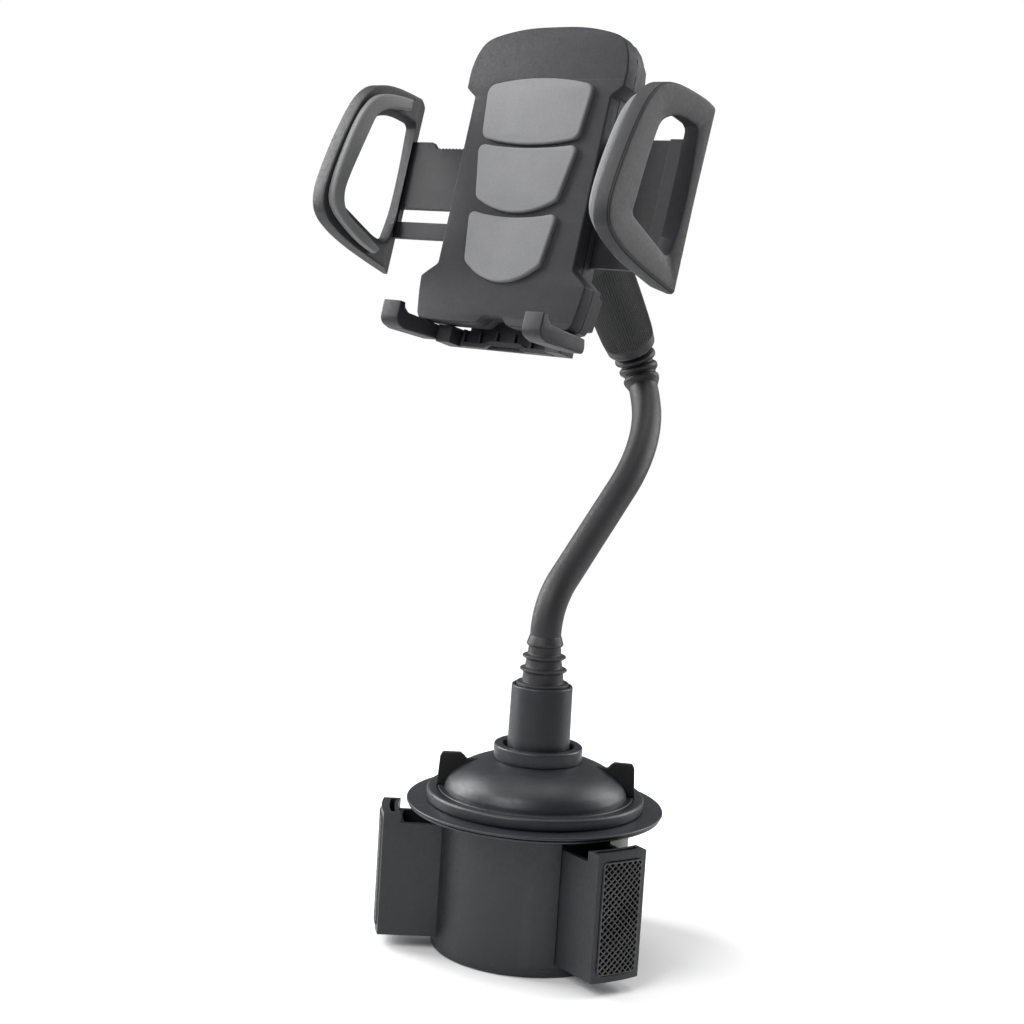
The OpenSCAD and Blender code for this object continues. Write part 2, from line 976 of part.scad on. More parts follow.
module pinion() {
    color("#c9c7c0")
    in_cradle_frame()
        difference() {
            slab(layer1, layer2 + slide_t)
                translate([0, pinion_z]) {
                    circle(r = root_r, $fn = 48);
                    for (k = [0:pinion_n - 1])
                        rotate(90 + k * 360 / pinion_n)
                            tooth();
                }
            ybar(0, pinion_z, 1.66, 0, 20);
        }
}

// teeth of a rack pointing up, tooth gaps at x = 0, pitch line at 0
module rack_teeth(k0, k1) {
    p = gear_m * PI;
    for (k = [k0:k1])
        translate([(k + 0.5) * p, 0])
            polygon([
                [-p / 4 - tan(pressure) * gear_m + 0.06, -1.3 * gear_m],
                [-p / 4 + tan(pressure) * 0.75 * gear_m + 0.06, 0.75 * gear_m],
                [p / 4 - tan(pressure) * 0.75 * gear_m - 0.06, 0.75 * gear_m],
                [p / 4 + tan(pressure) * gear_m - 0.06, -1.3 * gear_m]
            ]);
}

up_line = pinion_z + gear_r;
low_line = pinion_z - gear_r;

module slide_plate_left() {
    color("#505155")
    in_cradle_frame() {
        slab(layer1, layer1 + slide_t)
            difference() {
                translate([-63, -19.5])
                    square([66.2, 33]);
                translate([-59, -13.7])
                    square([80, 4.9]);
                translate([-arm_travel - 7, low_line - 1.6])
                    square([80, 2 * gear_r + 1.6 + gear_m]);
                for (k = [0:31])
                    translate([2.2 - k * 1.6, 13.6])
                        circle(r = 0.8, $fn = 4);
            }
        slab(layer1, layer1 + slide_t)
            translate([0, up_line])
                rotate(180)
                    rack_teeth(-1, 10);
        slab(layer1, layer1 + slide_t)
            polygon([[-63, 13], [-63, 15.6], [-50.4, 15.6], [-47.8, 13]]);
    }
}

module slide_plate_right() {
    color("#505155")
    in_cradle_frame() {
        slab(layer2, layer2 + slide_t) {
            difference() {
                translate([-2.4, -25.4])
                    square([65.4, 43.5]);
                translate([-10, low_line - gear_m])
                    square([arm_travel + 17, 2 * gear_r + 1.6 + gear_m]);
            }
            translate([0, low_line])
                rack_teeth(-1, 10);
        }
        slab(layer2 - 1.4, layer2 + 0.01)
            translate([52, -25.4])
                square([11, 43.5]);
    }
}

// ---------- arms ----------

module arm_face() {
    offset(r = 2.5, $fn = 32)
        offset(r = -2.5, $fn = 32)
            polygon([
                [11.5, 30.2], [-9, 29.6], [-17.5, 27.6], [-23.6, 22.2], [-27.2, 13.5], [-30, 2.5],
                [arm_front, -9], [arm_front + 0.4, -16.6], [-28.4, -21.8], [-20, -26.5],
                [-11, -29.8], [9.8, -33]
            ]);
}

module arm_slot() {
    offset(r = 2, $fn = 32)
        offset(r = -2, $fn = 32)
            polygon([
                [4.8, 21.6], [-4, 22.2], [-12, 21], [-18.2, 17.4], [-19.8, 10.5], [-22, 1.5],
                [-24.2, -8], [-24.4, -13.8], [-22.4, -17.4], [-14, -21.2], [-4, -22.8],
                [2.6, -22.4], [4.6, -17.5], [5.2, -6]
            ]);
}

module arm_frame() {
    difference() {
        side(arm_x, arm_x + arm_t)
            arm_face();
        side(arm_x - 1, arm_x + arm_t + 1)
            arm_slot();
        translate([arm_x, 3.8, 0])
            rotate([0, 0, -32])
                translate([-20, 0, -60])
                    cube([20, 20, 120]);
    }
}

module arm_left() {
    color("#57585b")
    in_cradle_frame()
        difference() {
            mirror([1, 0, 0])
                arm_frame();
            translate([-63.1, layer1 - 0.05, -19.6])
                cube([20, slide_t + 0.1, 35.3]);
            for (z = [-17, -4, 11])
                xbar(layer1 + 1.1, z, 0.7, -66, -60);
        }
}

module arm_right() {
    color("#57585b")
    in_cradle_frame()
        difference() {
            arm_frame();
            translate([43.1, layer2 - 1.45, -25.5])
                cube([20, slide_t + 1.5, 43.7]);
            for (z = [-21, -4, 14])
                xbar(layer2 + 1.1, z, 0.7, 60, 66);
        }
}

module arm_screws_left() {
    color("#8d9095")
    in_cradle_frame()
        for (z = [-17, -4, 11])
            xbar(layer1 + 1.1, z, 0.7, -64.3, -63.05);
}

module arm_screws_right() {
    color("#8d9095")
    in_cradle_frame()
        for (z = [-21, -4, 14])
            xbar(layer2 + 1.1, z, 0.7, 63.05, 64.3);
}

module arm_pad_shape() {
    difference() {
        offset(r = 1.5, $fn = 32)
            offset(r = -1.5, $fn = 32)
                polygon([
                    [-2.6, 28.2], [-11.6, 26.8], [-20.6, 23.2], [-24.8, 18.4], [-27.4, 10.5],
                    [-29.6, 1], [-30.4, -9], [-30, -15.6], [-27.4, -19.6], [-19.6, -24],
                    [-12, -27], [-4.6, -28.2], [-2.6, -26], [-2.6, 0]
                ]);
        offset(r = 1.5, $fn = 32)
            offset(r = -1.5, $fn = 32)
                polygon([
                    [4, 24.6], [-6, 23.6], [-13, 21.2], [-18.8, 17], [-20.4, 10.2], [-22.6, 1],
                    [-24.6, -8], [-24.8, -13.4], [-22.6, -17.4], [-17.6, -20.4], [-12, -22.4],
                    [-6.6, -24.4], [-4, -25.4], [4, -25.4]
                ]);
    }
}

module arm_pad_left() {
    color("#9b9c9f")
    in_cradle_frame()
        side(-arm_x, grip_pad_t - arm_x)
            arm_pad_shape();
}

module arm_pad_right() {
    color("#9b9c9f")
    in_cradle_frame()
        side(arm_x - grip_pad_t, arm_x)
            arm_pad_shape();
}

// ---------- ratchet ----------

module ratchet_pawl() {
    color("#b9b6ae")
    in_cradle_frame() {
        slab(layer1, layer1 + slide_t)
            difference() {
                translate([-16, 13.55])
                    square([7, 12.4]);
                for (k = [0:4])
                    translate([-15.6 + k * 1.6, 13.5])
                        circle(r = 0.75, $fn = 4);
            }
        side(-9.01, -5)
            polygon([[6, 19], [10.7, 23.7], [10.7, 25.95], [6, 25.95]]);
    }
}

module pawl_spring() {
    color("#a8abb0")
    in_cradle_frame()
        slab(layer1 + 0.4, layer1 + 1.8) {
            for (k = [0:4])
                translate([-15, 26 + k * 1.7])
                    square([5, 0.4]);
            for (k = [0:3])
                translate([k % 2 == 0 ? -15 : -10.4, 26 + k * 1.7])
                    square([0.4, 2.1]);
        }
}

module release_button() {
    color("#3b3c3f")
    in_cradle_frame() {
        ybar(-12, 27, 3.5, 12.4, body_d + 2.2);
        slab(11.3, 12.5) {
            translate([-16, 18.7])
                square([6.8, 12.5]);
            translate([-9.3, 18.7])
                square([4.3, 5.4]);
        }
        side(-9, -5)
            polygon([[7.6, 20.45], [11.35, 24.1], [11.35, 19.2], [7.6, 19.2]]);
    }
}

// ---------- feet ----------

// the tray's floor, which steps up in the middle
module tray_floor() {
    polygon([
        [-tray_x, -55.4], [-9, -55.4], [-6.4, -54.2], [5.8, -54.2], [8.2, -55.4], [tray_x, -55.4],
        [tray_x, -53.9], [8.8, -53.9], [6.3, -52.7], [-6.9, -52.7], [-9.6, -53.9],
        [-tray_x, -53.9]
    ]);
}

module foot_bracket() {
    color("#4c4d50")
    in_cradle_frame() {
        slab(layer3, layer3 + 1.6) {
            translate([-18, -55.4])
                square([36, 19.4 + foot_travel]);
            translate([-foot_x0, -55.4])
                square([2 * foot_x0, 5.9]);
        }
        slab(tray_front, layer3 + 0.1)
            tray_floor();
        slab(tray_front + 0.3, layer3 + 0.1) {
            for (x = [-tray_x, tray_x - 1.2])
                translate([x, -55.3])
                    square([1.2, 5.8]);
            for (x = [-12.6, -5.2, 2.6, 10.2])
                translate([x, -53.8])
                    square([0.8, 4.3]);
        }
        slab(5, layer3 + 0.1)
            for (x = [-foot_x0, tray_x + 1.2])
                translate([x, -55.4])
                    square([foot_x0 - tray_x - 1.2, 5.9]);
    }
}

module foot_side() {
    union() {
        translate([foot_front + 4, -55.6])
            square([8 - foot_front - 4, 6.1]);
        translate([foot_front, -51.6])
            square([8, 2.1]);
        translate([foot_front, -51.6])
            square([2.7, 5.1]);
        intersection() {
            translate([foot_front + 4, -51.6])
                circle(r = 4, $fn = 48);
            translate([foot_front, -60])
                square([8, 8.5]);
        }
    }
}

module foot_left() {
    color("#4f5053")
    in_cradle_frame()
        side(-foot_x1, -foot_x0)
            foot_side();
}

module foot_right() {
    color("#4f5053")
    in_cradle_frame()
        side(foot_x0, foot_x1)
            foot_side();
}

bottom_cap();
cap_screws();
base_barrel();
top_flange();
flange_screws();
center_column();
column_screw();
collar_ring();
upper_post();
adjuster_knob();
finger_tab_left();
finger_tab_right();
cam_plate();
cam_screws();
wing_left();
wing_right();
wing_rear();
wing_pad_left();
wing_pad_right();
wing_pad_rear();
cam_pin_left();
cam_pin_right();
cam_pin_rear();
lower_bellows();
sheath_lower();
core_lower();
sheath_middle();
core_middle();
sheath_upper();
core_upper();
upper_bellows();
collar_core();
grip_sleeve();
ball_stud();
ball_socket();
lock_nut();
socket_retainer();
retainer_screws();
rear_shell();
front_shell();
pad_top();
pad_middle();
pad_bottom();
cradle_screws();
pinion();
slide_plate_left();
slide_plate_right();
arm_left();
arm_right();
arm_pad_left();
arm_pad_right();
arm_screws_left();
arm_screws_right();
ratchet_pawl();
pawl_spring();
release_button();
foot_bracket();
foot_left();
foot_right();
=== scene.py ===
import math

import bmesh
import bpy
from mathutils import Matrix, Vector


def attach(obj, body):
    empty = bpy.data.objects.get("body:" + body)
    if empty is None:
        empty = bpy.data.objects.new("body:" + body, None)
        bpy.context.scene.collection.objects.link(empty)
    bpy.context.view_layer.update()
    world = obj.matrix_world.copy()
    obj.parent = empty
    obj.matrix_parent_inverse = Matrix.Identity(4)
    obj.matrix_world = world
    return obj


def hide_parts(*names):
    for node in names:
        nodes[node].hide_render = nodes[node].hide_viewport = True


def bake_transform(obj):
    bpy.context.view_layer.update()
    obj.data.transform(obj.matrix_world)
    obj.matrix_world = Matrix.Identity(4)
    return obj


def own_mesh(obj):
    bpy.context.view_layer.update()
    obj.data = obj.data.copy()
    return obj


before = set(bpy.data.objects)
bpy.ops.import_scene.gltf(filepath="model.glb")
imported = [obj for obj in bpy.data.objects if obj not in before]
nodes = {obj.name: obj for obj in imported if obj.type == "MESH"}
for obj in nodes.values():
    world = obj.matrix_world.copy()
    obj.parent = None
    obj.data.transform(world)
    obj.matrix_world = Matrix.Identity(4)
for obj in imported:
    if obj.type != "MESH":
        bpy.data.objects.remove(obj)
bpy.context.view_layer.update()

# lengths are in millimetres, and a finished mesh is turned into metres
MM = 0.001
to_m = Matrix.Scale(MM, 4)

# ---------- places, as in the CAD ----------

cradle = (
    Matrix.Translation((-18.1, 8.9, 260.3))
    @ Matrix.Rotation(math.radians(-38.8), 4, "Z")
    @ Matrix.Rotation(math.radians(-13.6), 4, "X")
)
turn = cradle.to_3x3()
ball = cradle @ Vector((0, 32, 2))

# the neck's last straight run leans back from the cradle and points at the ball
NECK_LEAN = math.radians(40)
LAST_RUN = 73.9
neck_dir = turn @ Vector((0, -math.cos(NECK_LEAN), math.sin(NECK_LEAN)))

# the neck's centre line: its corners, and the radius of the bend at each
P1 = Vector((0, 0, 119.9))
P2 = Vector((32.7, 37.7, 173.6))
P3 = ball - LAST_RUN * neck_dir
R1, R2, R3 = 27.0, 65.0, 15.0

# where each wing stands round the base, in degrees
WINGS = {"left": 185.0, "right": 305.0, "rear": 65.0}

# a plate drawn in x, y that is stood up, so that its outline lies in x, z
UPRIGHT = Matrix(((1, 0, 0, 0), (0, 0, 1, 0), (0, 1, 0, 0), (0, 0, 0, 1)))
# a plate with its outline in the cradle's x, z and its thickness along the cradle's Y
FACE = cradle @ UPRIGHT
# a plate with its outline in the cradle's y, z and its thickness along the cradle's X
SIDE = cradle @ Matrix(((0, 0, 1, 0), (1, 0, 0, 0), (0, 1, 0, 0), (0, 0, 0, 1)))


def unit(v):
    """v at a length of one."""
    return v.normalized()


# ---------- materials ----------

ROUGH_SPREAD = 0.06


def noise(tree, coord, size, detail):
    """A noise whose features are about size mm wide."""
    node = tree.nodes.new("ShaderNodeTexNoise")
    node.inputs["Scale"].default_value = 1000.0 / size
    node.inputs["Detail"].default_value = detail
    node.inputs["Roughness"].default_value = 0.55
    tree.links.new(coord.outputs["Object"], node.inputs["Vector"])
    return node.outputs["Fac"]


def mapped(tree, source, low, high, start=0.3, end=0.7):
    """Stretches source from start..end to low..high."""
    node = tree.nodes.new("ShaderNodeMapRange")
    node.inputs["From Min"].default_value = start
    node.inputs["From Max"].default_value = end
    node.inputs["To Min"].default_value = low
    node.inputs["To Max"].default_value = high
    tree.links.new(source, node.inputs["Value"])
    return node.outputs["Result"]


def multiplied(tree, a, b):
    node = tree.nodes.new("ShaderNodeMath")
    node.operation = "MULTIPLY"
    tree.links.new(a, node.inputs[0])
    tree.links.new(b, node.inputs[1])
    return node.outputs["Value"]


def material(name, base, rough, grain=0.35, bump=0.1, vary=0.12, spec=0.5, speckle=0.0, mottle=9.0, edge=0.0,
             metallic=0.0):
    """A moulded finish: a base colour that drifts, a fine grain in mm with its bump, and paler edges."""
    mat = bpy.data.materials.new(name)
    mat.use_nodes = True
    tree = mat.node_tree
    link = tree.links.new
    bsdf = tree.nodes["Principled BSDF"]
    coord = tree.nodes.new("ShaderNodeTexCoord")
    fine = noise(tree, coord, grain, 2)
    middle = noise(tree, coord, grain * 5, 3)

    value = mapped(tree, noise(tree, coord, mottle, 3), 1 - vary, 1 + vary)
    if speckle:
        value = multiplied(tree, value, mapped(tree, fine, 1 - speckle, 1 + speckle, 0.25, 0.75))
    if edge:
        shape = tree.nodes.new("ShaderNodeNewGeometry")
        wear = mapped(tree, shape.outputs["Pointiness"], 1.0, 1.0 + edge, 0.52, 0.6)
        value = multiplied(tree, value, wear)
    tint = tree.nodes.new("ShaderNodeVectorMath")
    tint.operation = "SCALE"
    tint.inputs[0].default_value = base
    link(value, tint.inputs["Scale"])
    link(tint.outputs["Vector"], bsdf.inputs["Base Color"])

    height = tree.nodes.new("ShaderNodeMath")
    height.operation = "MULTIPLY_ADD"
    height.inputs[1].default_value = 0.6
    link(middle, height.inputs[0])
    link(fine, height.inputs[2])
    relief = tree.nodes.new("ShaderNodeBump")
    relief.inputs["Strength"].default_value = bump
    relief.inputs["Distance"].default_value = grain * MM
    link(height.outputs["Value"], relief.inputs["Height"])
    link(relief.outputs["Normal"], bsdf.inputs["Normal"])

    link(mapped(tree, middle, rough - ROUGH_SPREAD, rough + ROUGH_SPREAD), bsdf.inputs["Roughness"])
    bsdf.inputs["Specular IOR Level"].default_value = spec
    bsdf.inputs["Metallic"].default_value = metallic
    return mat


# the base
SATIN = material("satin_plastic", (0.010, 0.011, 0.014), 0.42, grain=0.30, bump=0.16, vary=0.10, edge=0.5)
BARREL = material("barrel_plastic", (0.007, 0.008, 0.010), 0.44, grain=0.34, bump=0.22, vary=0.10, edge=0.5)
WING = material("wing_plastic", (0.008, 0.009, 0.011), 0.48, grain=0.30, bump=0.22, edge=0.6)
BLACK = material("tab_plastic", (0.006, 0.006, 0.007), 0.62, grain=0.30, bump=0.15, vary=0.15, spec=0.25)
KNURL = material("knurl_rubber", (0.022, 0.022, 0.023), 0.42, grain=0.22, bump=0.12, spec=0.7, edge=0.8)
# near-black: painted shade for the knurl's pits
PIT_SHADE = material("pit_painted_shade", (0.004, 0.004, 0.004), 0.75, grain=0.22, spec=0.1)

# the neck
RUBBER = material("neck_rubber", (0.015, 0.015, 0.017), 0.52, grain=0.25, bump=0.25, vary=0.10, spec=0.45)
GRIP = material("grip_plastic", (0.017, 0.017, 0.019), 0.50, grain=0.30, bump=0.20, vary=0.10, spec=0.4)

# the cradle
SHELL = material("shell_plastic", (0.022, 0.022, 0.025), 0.55, grain=0.26, bump=0.35, vary=0.06, spec=0.18,
                 speckle=0.14, edge=0.35)
REAR = material("rear_plastic", (0.032, 0.032, 0.035), 0.55, grain=0.26, bump=0.35, vary=0.06, spec=0.3,
                speckle=0.14, edge=0.35)
ARM = material("arm_plastic", (0.025, 0.025, 0.027), 0.52, grain=0.24, bump=0.28, vary=0.06, spec=0.3,
               speckle=0.10, edge=0.35)
# darker and duller than ARM: painted shade for the arm slots' inner walls
SLOT_SHADE = material("slot_painted_shade", (0.021, 0.021, 0.024), 0.60, grain=0.30, bump=0.30, vary=0.08, spec=0.18)
SLIDE = material("slide_plastic", (0.010, 0.010, 0.012), 0.50, grain=0.30, bump=0.20, vary=0.10, spec=0.22,
                 edge=0.4)
PAD = material("pad_rubber", (0.168, 0.169, 0.175), 0.62, grain=0.20, bump=0.45, vary=0.04, spec=0.3,
               speckle=0.22)
ARMPAD = material("arm_pad_rubber", (0.165, 0.166, 0.169), 0.55, grain=0.22, bump=0.35, vary=0.04, spec=0.35,
                  speckle=0.16)
FOOT = material("foot_plastic", (0.017, 0.017, 0.020), 0.50, grain=0.26, bump=0.28, vary=0.08, spec=0.3,
                edge=0.4)

# inside
STEEL = material("screw_steel", (0.42, 0.42, 0.43), 0.32, grain=0.20, vary=0.10, metallic=1.0)
NATURAL = material("natural_plastic", (0.55, 0.54, 0.50), 0.45, grain=0.30, vary=0.06)


# ---------- building ----------


def finish(obj, mat, body, replaces=(), angle=32):
    """Gives a piece its material, its body and the nodes it replaces; edges past angle stay crisp."""
    obj.data.materials.clear()
    obj.data.materials.append(mat)
    me = obj.data
    me.polygons.foreach_set("use_smooth", [True] * len(me.polygons))
    me.set_sharp_from_angle(angle=math.radians(angle))
    if body:
        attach(obj, body)
    if replaces:
        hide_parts(*replaces)
    return obj


def new_object(name, me):
    obj = bpy.data.objects.new(name, me)
    bpy.context.scene.collection.objects.link(obj)
    return obj


def weld(me, distance):
    """Joins points closer than distance and turns the normals outward."""
    bm = bmesh.new()
    bm.from_mesh(me)
    bmesh.ops.remove_doubles(bm, verts=bm.verts, dist=distance)
    bmesh.ops.recalc_face_normals(bm, faces=bm.faces)
    bm.to_mesh(me)
    bm.free()


def mesh(name, verts, faces, place=None):
    """A mesh from points in mm, put through place and turned into metres, with its normals outward."""
    me = bpy.data.meshes.new(name)
    me.from_pydata([tuple(v) for v in verts], [], faces)
    weld(me, 1e-4)
    me.transform(to_m @ (place or Matrix.Identity(4)))
    return new_object(name, me)


def rounded(points, radius, steps=5):
    """A closed outline with its corners rounded; a point may carry its own radius as a third number."""
    out = []
    n = len(points)
    for i in range(n):
        p = Vector(points[i][:2])
        a = Vector(points[i - 1][:2]) - p
        b = Vector(points[(i + 1) % n][:2]) - p
        r = points[i][2] if len(points[i]) > 2 else radius
        la, lb = a.length, b.length
        if r <= 0 or la < 1e-9 or lb < 1e-9:
            out.append(p)
            continue
        a, b = a / la, b / lb
        half = math.acos(max(-1, min(1, a.dot(b)))) / 2
        if half > math.radians(88):
            out.append(p)
            continue
        # the arc takes less than half of each side, so that two corners never meet
        cut = min(r / math.tan(half), la * 0.48, lb * 0.48)
        centre = p + (a + b).normalized() * (cut / math.cos(half))
        s, e = p + a * cut - centre, p + b * cut - centre
        arc = math.atan2(s.x * e.y - s.y * e.x, s.dot(e))
        for k in range(steps + 1):
            c, w = math.cos(arc * k / steps), math.sin(arc * k / steps)
            out.append(centre + Vector((s.x * c - s.y * w, s.x * w + s.y * c)))
    return out


def outline(points, steps=8):
    """A closed soft curve past its points; a point with a third number is a corner of that radius."""
    n = len(points)
    out = []
    for i in range(n):
        p, before, after = (Vector(points[k % n][:2]) for k in (i, i - 1, i + 1))
        a, b = (before + p) / 2, (p + after) / 2
        if len(points[i]) > 2:
            corner = rounded([a, (p.x, p.y, points[i][2]), b], 0, 5)
            out += corner[1:-1]
            continue
        for k in range(steps + 1):
            t = k / steps
            out.append(a * (1 - t) ** 2 + p * (2 * t * (1 - t)) + b * t * t)
    clean = []
    for q in out:
        if not clean or (q - clean[-1]).length > 1e-3:
            clean.append(q)
    return clean


def smooth_curve(points, steps):
    """A soft curve through the points (Catmull-Rom), as a list of 2D points."""
    p = [Vector(q) for q in points]
    p = [2 * p[0] - p[1]] + p + [2 * p[-1] - p[-2]]
    out = []
    for i in range(1, len(p) - 2):
        for k in range(steps):
            t = k / steps
            out.append(0.5 * (2 * p[i] + (p[i + 1] - p[i - 1]) * t
                              + (2 * p[i - 1] - 5 * p[i] + 4 * p[i + 1] - p[i + 2]) * t * t
                              + (3 * p[i] - p[i - 1] - 3 * p[i + 1] + p[i + 2]) * t ** 3))
    return out + [p[-2]]


def bands(rows, n):
    """Quads between rows of n points each, with an end cap at both ends."""
    faces = []
    for i in range(rows - 1):
        for k in range(n):
            j = (k + 1) % n
            faces.append((i * n + k, i * n + j, (i + 1) * n + j, (i + 1) * n + k))
    return faces + [tuple(range(n)), tuple((rows - 1) * n + k for k in range(n))]


def lathe(name, profile, n=144):
    """A closed profile of (radius, height) turned about Z."""
    verts, faces = [], []
    m = len(profile)
    for k in range(n):
        c, s = math.cos(2 * math.pi * k / n), math.sin(2 * math.pi * k / n)
        verts += [(p[0] * c, p[0] * s, p[1]) for p in profile]
    for k in range(n):
        j = (k + 1) % n
        for i in range(m):
            q = (i + 1) % m
            faces.append((k * m + i, k * m + q, j * m + q, j * m + i))
    return mesh(name, verts, faces)


def plate(name, loop, z0, z1, bevel, place, steps=3):
    """A plate from z0 to z1 with rounded edges, its outline drawn in x, y and put through place."""
    cu = bpy.data.curves.new(name, "CURVE")
    cu.dimensions = "2D"
    cu.fill_mode = "BOTH"
    cu.extrude = max((z1 - z0) / 2 - bevel, 0)
    cu.bevel_depth = bevel
    cu.bevel_resolution = steps
    cu.offset = -bevel
    line = cu.splines.new("POLY")
    line.points.add(len(loop) - 1)
    for q, p in zip(line.points, loop):
        q.co = (p[0], p[1], 0, 1)
    line.use_cyclic_u = True
    tmp = bpy.data.objects.new(name + "_curve", cu)
    bpy.context.scene.collection.objects.link(tmp)
    bpy.context.view_layer.update()
    me = bpy.data.meshes.new_from_object(tmp.evaluated_get(bpy.context.evaluated_depsgraph_get()))
    bpy.data.objects.remove(tmp)
    bpy.data.curves.remove(cu)
    me.name = name
    weld(me, 1e-3)
    me.transform(to_m @ place @ Matrix.Translation((0, 0, (z0 + z1) / 2)))
    return new_object(name, me)


def along(p, d):
    """Z turned to direction d, at p."""
    return Matrix.Translation(p) @ d.to_track_quat("Z", "Y").to_matrix().to_4x4()


def dress(node, mat, bevel):
    """A CAD node kept as it is, with a finish and its edges eased by bevel mm."""
    obj = nodes[node]
    obj.data.materials.clear()
    obj.data.materials.append(mat)
    if bevel:
        join = obj.modifiers.new("weld", "WELD")
        join.merge_threshold = 2e-6
        flat = obj.modifiers.new("flat", "DECIMATE")
        flat.decimate_type = "DISSOLVE"
        flat.angle_limit = math.radians(1.0)
        bev = obj.modifiers.new("ease", "BEVEL")
        bev.width = bevel * MM
        bev.segments = 3
        bev.limit_method = "ANGLE"
        bev.angle_limit = math.radians(35)
        obj.modifiers.new("even", "WEIGHTED_NORMAL")


# ---------- base ----------

# the radius of the hole that the centre column passes through
COLUMN_HOLE = 5.6


def flange():
    """The thin disc on the rim of the cup holder, with a stepped edge."""
    disc = rounded([(13.1, 48.8, 0), (43.3, 48.8, 0.4), (43.3, 49.55, 0.2), (42.7, 49.7, 0.15),
                    (42.7, 49.9, 0.1), (43.9, 50.0, 0.35), (43.9, 50.9, 0.45), (13.1, 50.9, 0)], 0, 4)
    finish(lathe("flange_disc", disc, n=200), SATIN, "base", ["top_flange"], 40)


def knob():
    """The domed knob, with a raised rim and a fine groove round the dome's foot."""
    dome = smooth_curve([(31.3, 55.0), (30.9, 56.6), (29.7, 58.9), (27.6, 61.0), (24.9, 62.8), (21.6, 64.3),
                         (18.6, 65.3), (16.6, 65.9), (15.6, 66.1)], 5)
    rim = rounded([(12.9, 51.05, 0), (36.9, 51.05, 0.2), (37.2, 51.6, 0.3), (37.2, 55.0, 1.1),
                   (33.9, 55.0, 0.2), (33.7, 54.75, 0.15), (33.3, 54.75, 0.15), (33.1, 55.0, 0.2)], 0, 4)
    hub = [(COLUMN_HOLE, 66.1), (COLUMN_HOLE, 48.0), (12.9, 48.0)]
    finish(lathe("knob_dome", rim + dome + hub, n=200), SATIN, "knob", ["adjuster_knob"], 40)


def collar_and_post():
    """The ring on the dome, the post in it, and the boot on the post."""
    ring = rounded([(11.3, 66.2, 0), (15.1, 66.2, 0.2), (15.2, 71.2, 0.7), (12.2, 71.2, 0.5),
                    (12.0, 68.0, 0.1), (11.3, 68.0, 0)], 0, 4)
    finish(lathe("collar", ring), SATIN, "base", ["collar_ring"], 40)
    post = rounded([(COLUMN_HOLE, 66.4, 0), (11.5, 66.4, 0), (11.5, 69.0, 0.3), (10.7, 69.3, 0.3),
                    (10.4, 92.0, 0.5), (9.35, 92.0, 0.2), (9.3, 90.8, 0.1), (COLUMN_HOLE, 90.8, 0)], 0, 4)
    finish(lathe("post", post), SATIN, "base", ["upper_post"], 40)
    # a foot ring, two thin fins and a skirt that closes on the tube
    boot = rounded([(5.1, 90.85, 0), (8.95, 90.85, 0), (8.95, 92.9, 0.35), (7.15, 93.05, 0.2),
                    (6.8, 96.3, 0.4), (8.0, 97.15, 0.3), (8.0, 97.65, 0.3), (6.4, 98.3, 0.4),
                    (6.0, 100.7, 0.4), (7.4, 101.6, 0.3), (7.4, 102.1, 0.3), (5.75, 102.7, 0.4),
                    (5.5, 105.2, 0.4), (6.25, 105.9, 0.25), (6.25, 106.3, 0.3), (5.45, 108.9, 0.6),
                    (5.1, 109.1, 0)], 0, 4)
    finish(lathe("boot_lower", boot, n=128), RUBBER, "base", ["lower_bellows"], 50)


def tabs():
    """The two fins on the knob's rim that a finger pushes."""
    fin = rounded([(33.9, 54.9, 0.2), (33.3, 64.9, 0.3), (32.5, 66.3, 0.7), (26.4, 66.5, 0.7),
                   (25.2, 65.6, 0.6), (24.2, 64.4, 0.8), (19.4, 64.8, 0.2), (19.0, 60.0, 0),
                   (26.0, 54.9, 0)], 0.3, 3)
    half = 1.3
    for name, angle in (("left", math.pi), ("right", 0.0)):
        tab = plate("tab_" + name, fin, -half, half, 0.35, Matrix.Rotation(angle, 4, "Z") @ UPRIGHT)
        finish(tab, BLACK, "knob", ["finger_tab_" + name], 30)


# a wing's rubber face: half its width, its foot and head, its corners, and its distance from the base's axis
GRIP_HALF, GRIP_FOOT, GRIP_HEAD, GRIP_CORNER, GRIP_OUT = 7.95, 6.95, 45.35, 1.8, 52.85
# how thick its rubber is, below the groove
GRIP_BACK = 0.8
# the groove round it, and the plain border inside the groove
GROOVE_WIDTH, GROOVE_DEPTH, BORDER_END = 0.3, 0.9, 0.75
# the knurl: from ridge to ridge, its pits, half a ridge's crest, and its slope
PITCH, PIT_DEPTH, CREST, SLOPE = 1.6, 1.25, 0.16, 0.24


def inside_grip(t, z):
    """How far a point lies inside the rubber face's rounded outline."""
    across = abs(t) - GRIP_HALF + GRIP_CORNER
    upward = abs(z - (GRIP_FOOT + GRIP_HEAD) / 2) - (GRIP_HEAD - GRIP_FOOT) / 2 + GRIP_CORNER
    return GRIP_CORNER - math.hypot(max(across, 0), max(upward, 0)) - min(max(across, upward), 0)


def knurl_depth(t, z):
    """How deep the rubber face is cut at a point: groove, border, then crossed ridges over pits."""
    inside = inside_grip(t, z)
    if inside < GROOVE_WIDTH:
        return GROOVE_DEPTH
    if inside < BORDER_END:
        return 0.0
    a, b = (t + z) / math.sqrt(2) / PITCH, (t - z) / math.sqrt(2) / PITCH
    gap = min(abs(a - round(a)), abs(b - round(b))) * PITCH
    return PIT_DEPTH * min(max((gap - CREST) / SLOPE, 0), 1) * min((inside - BORDER_END) / 0.2, 1)


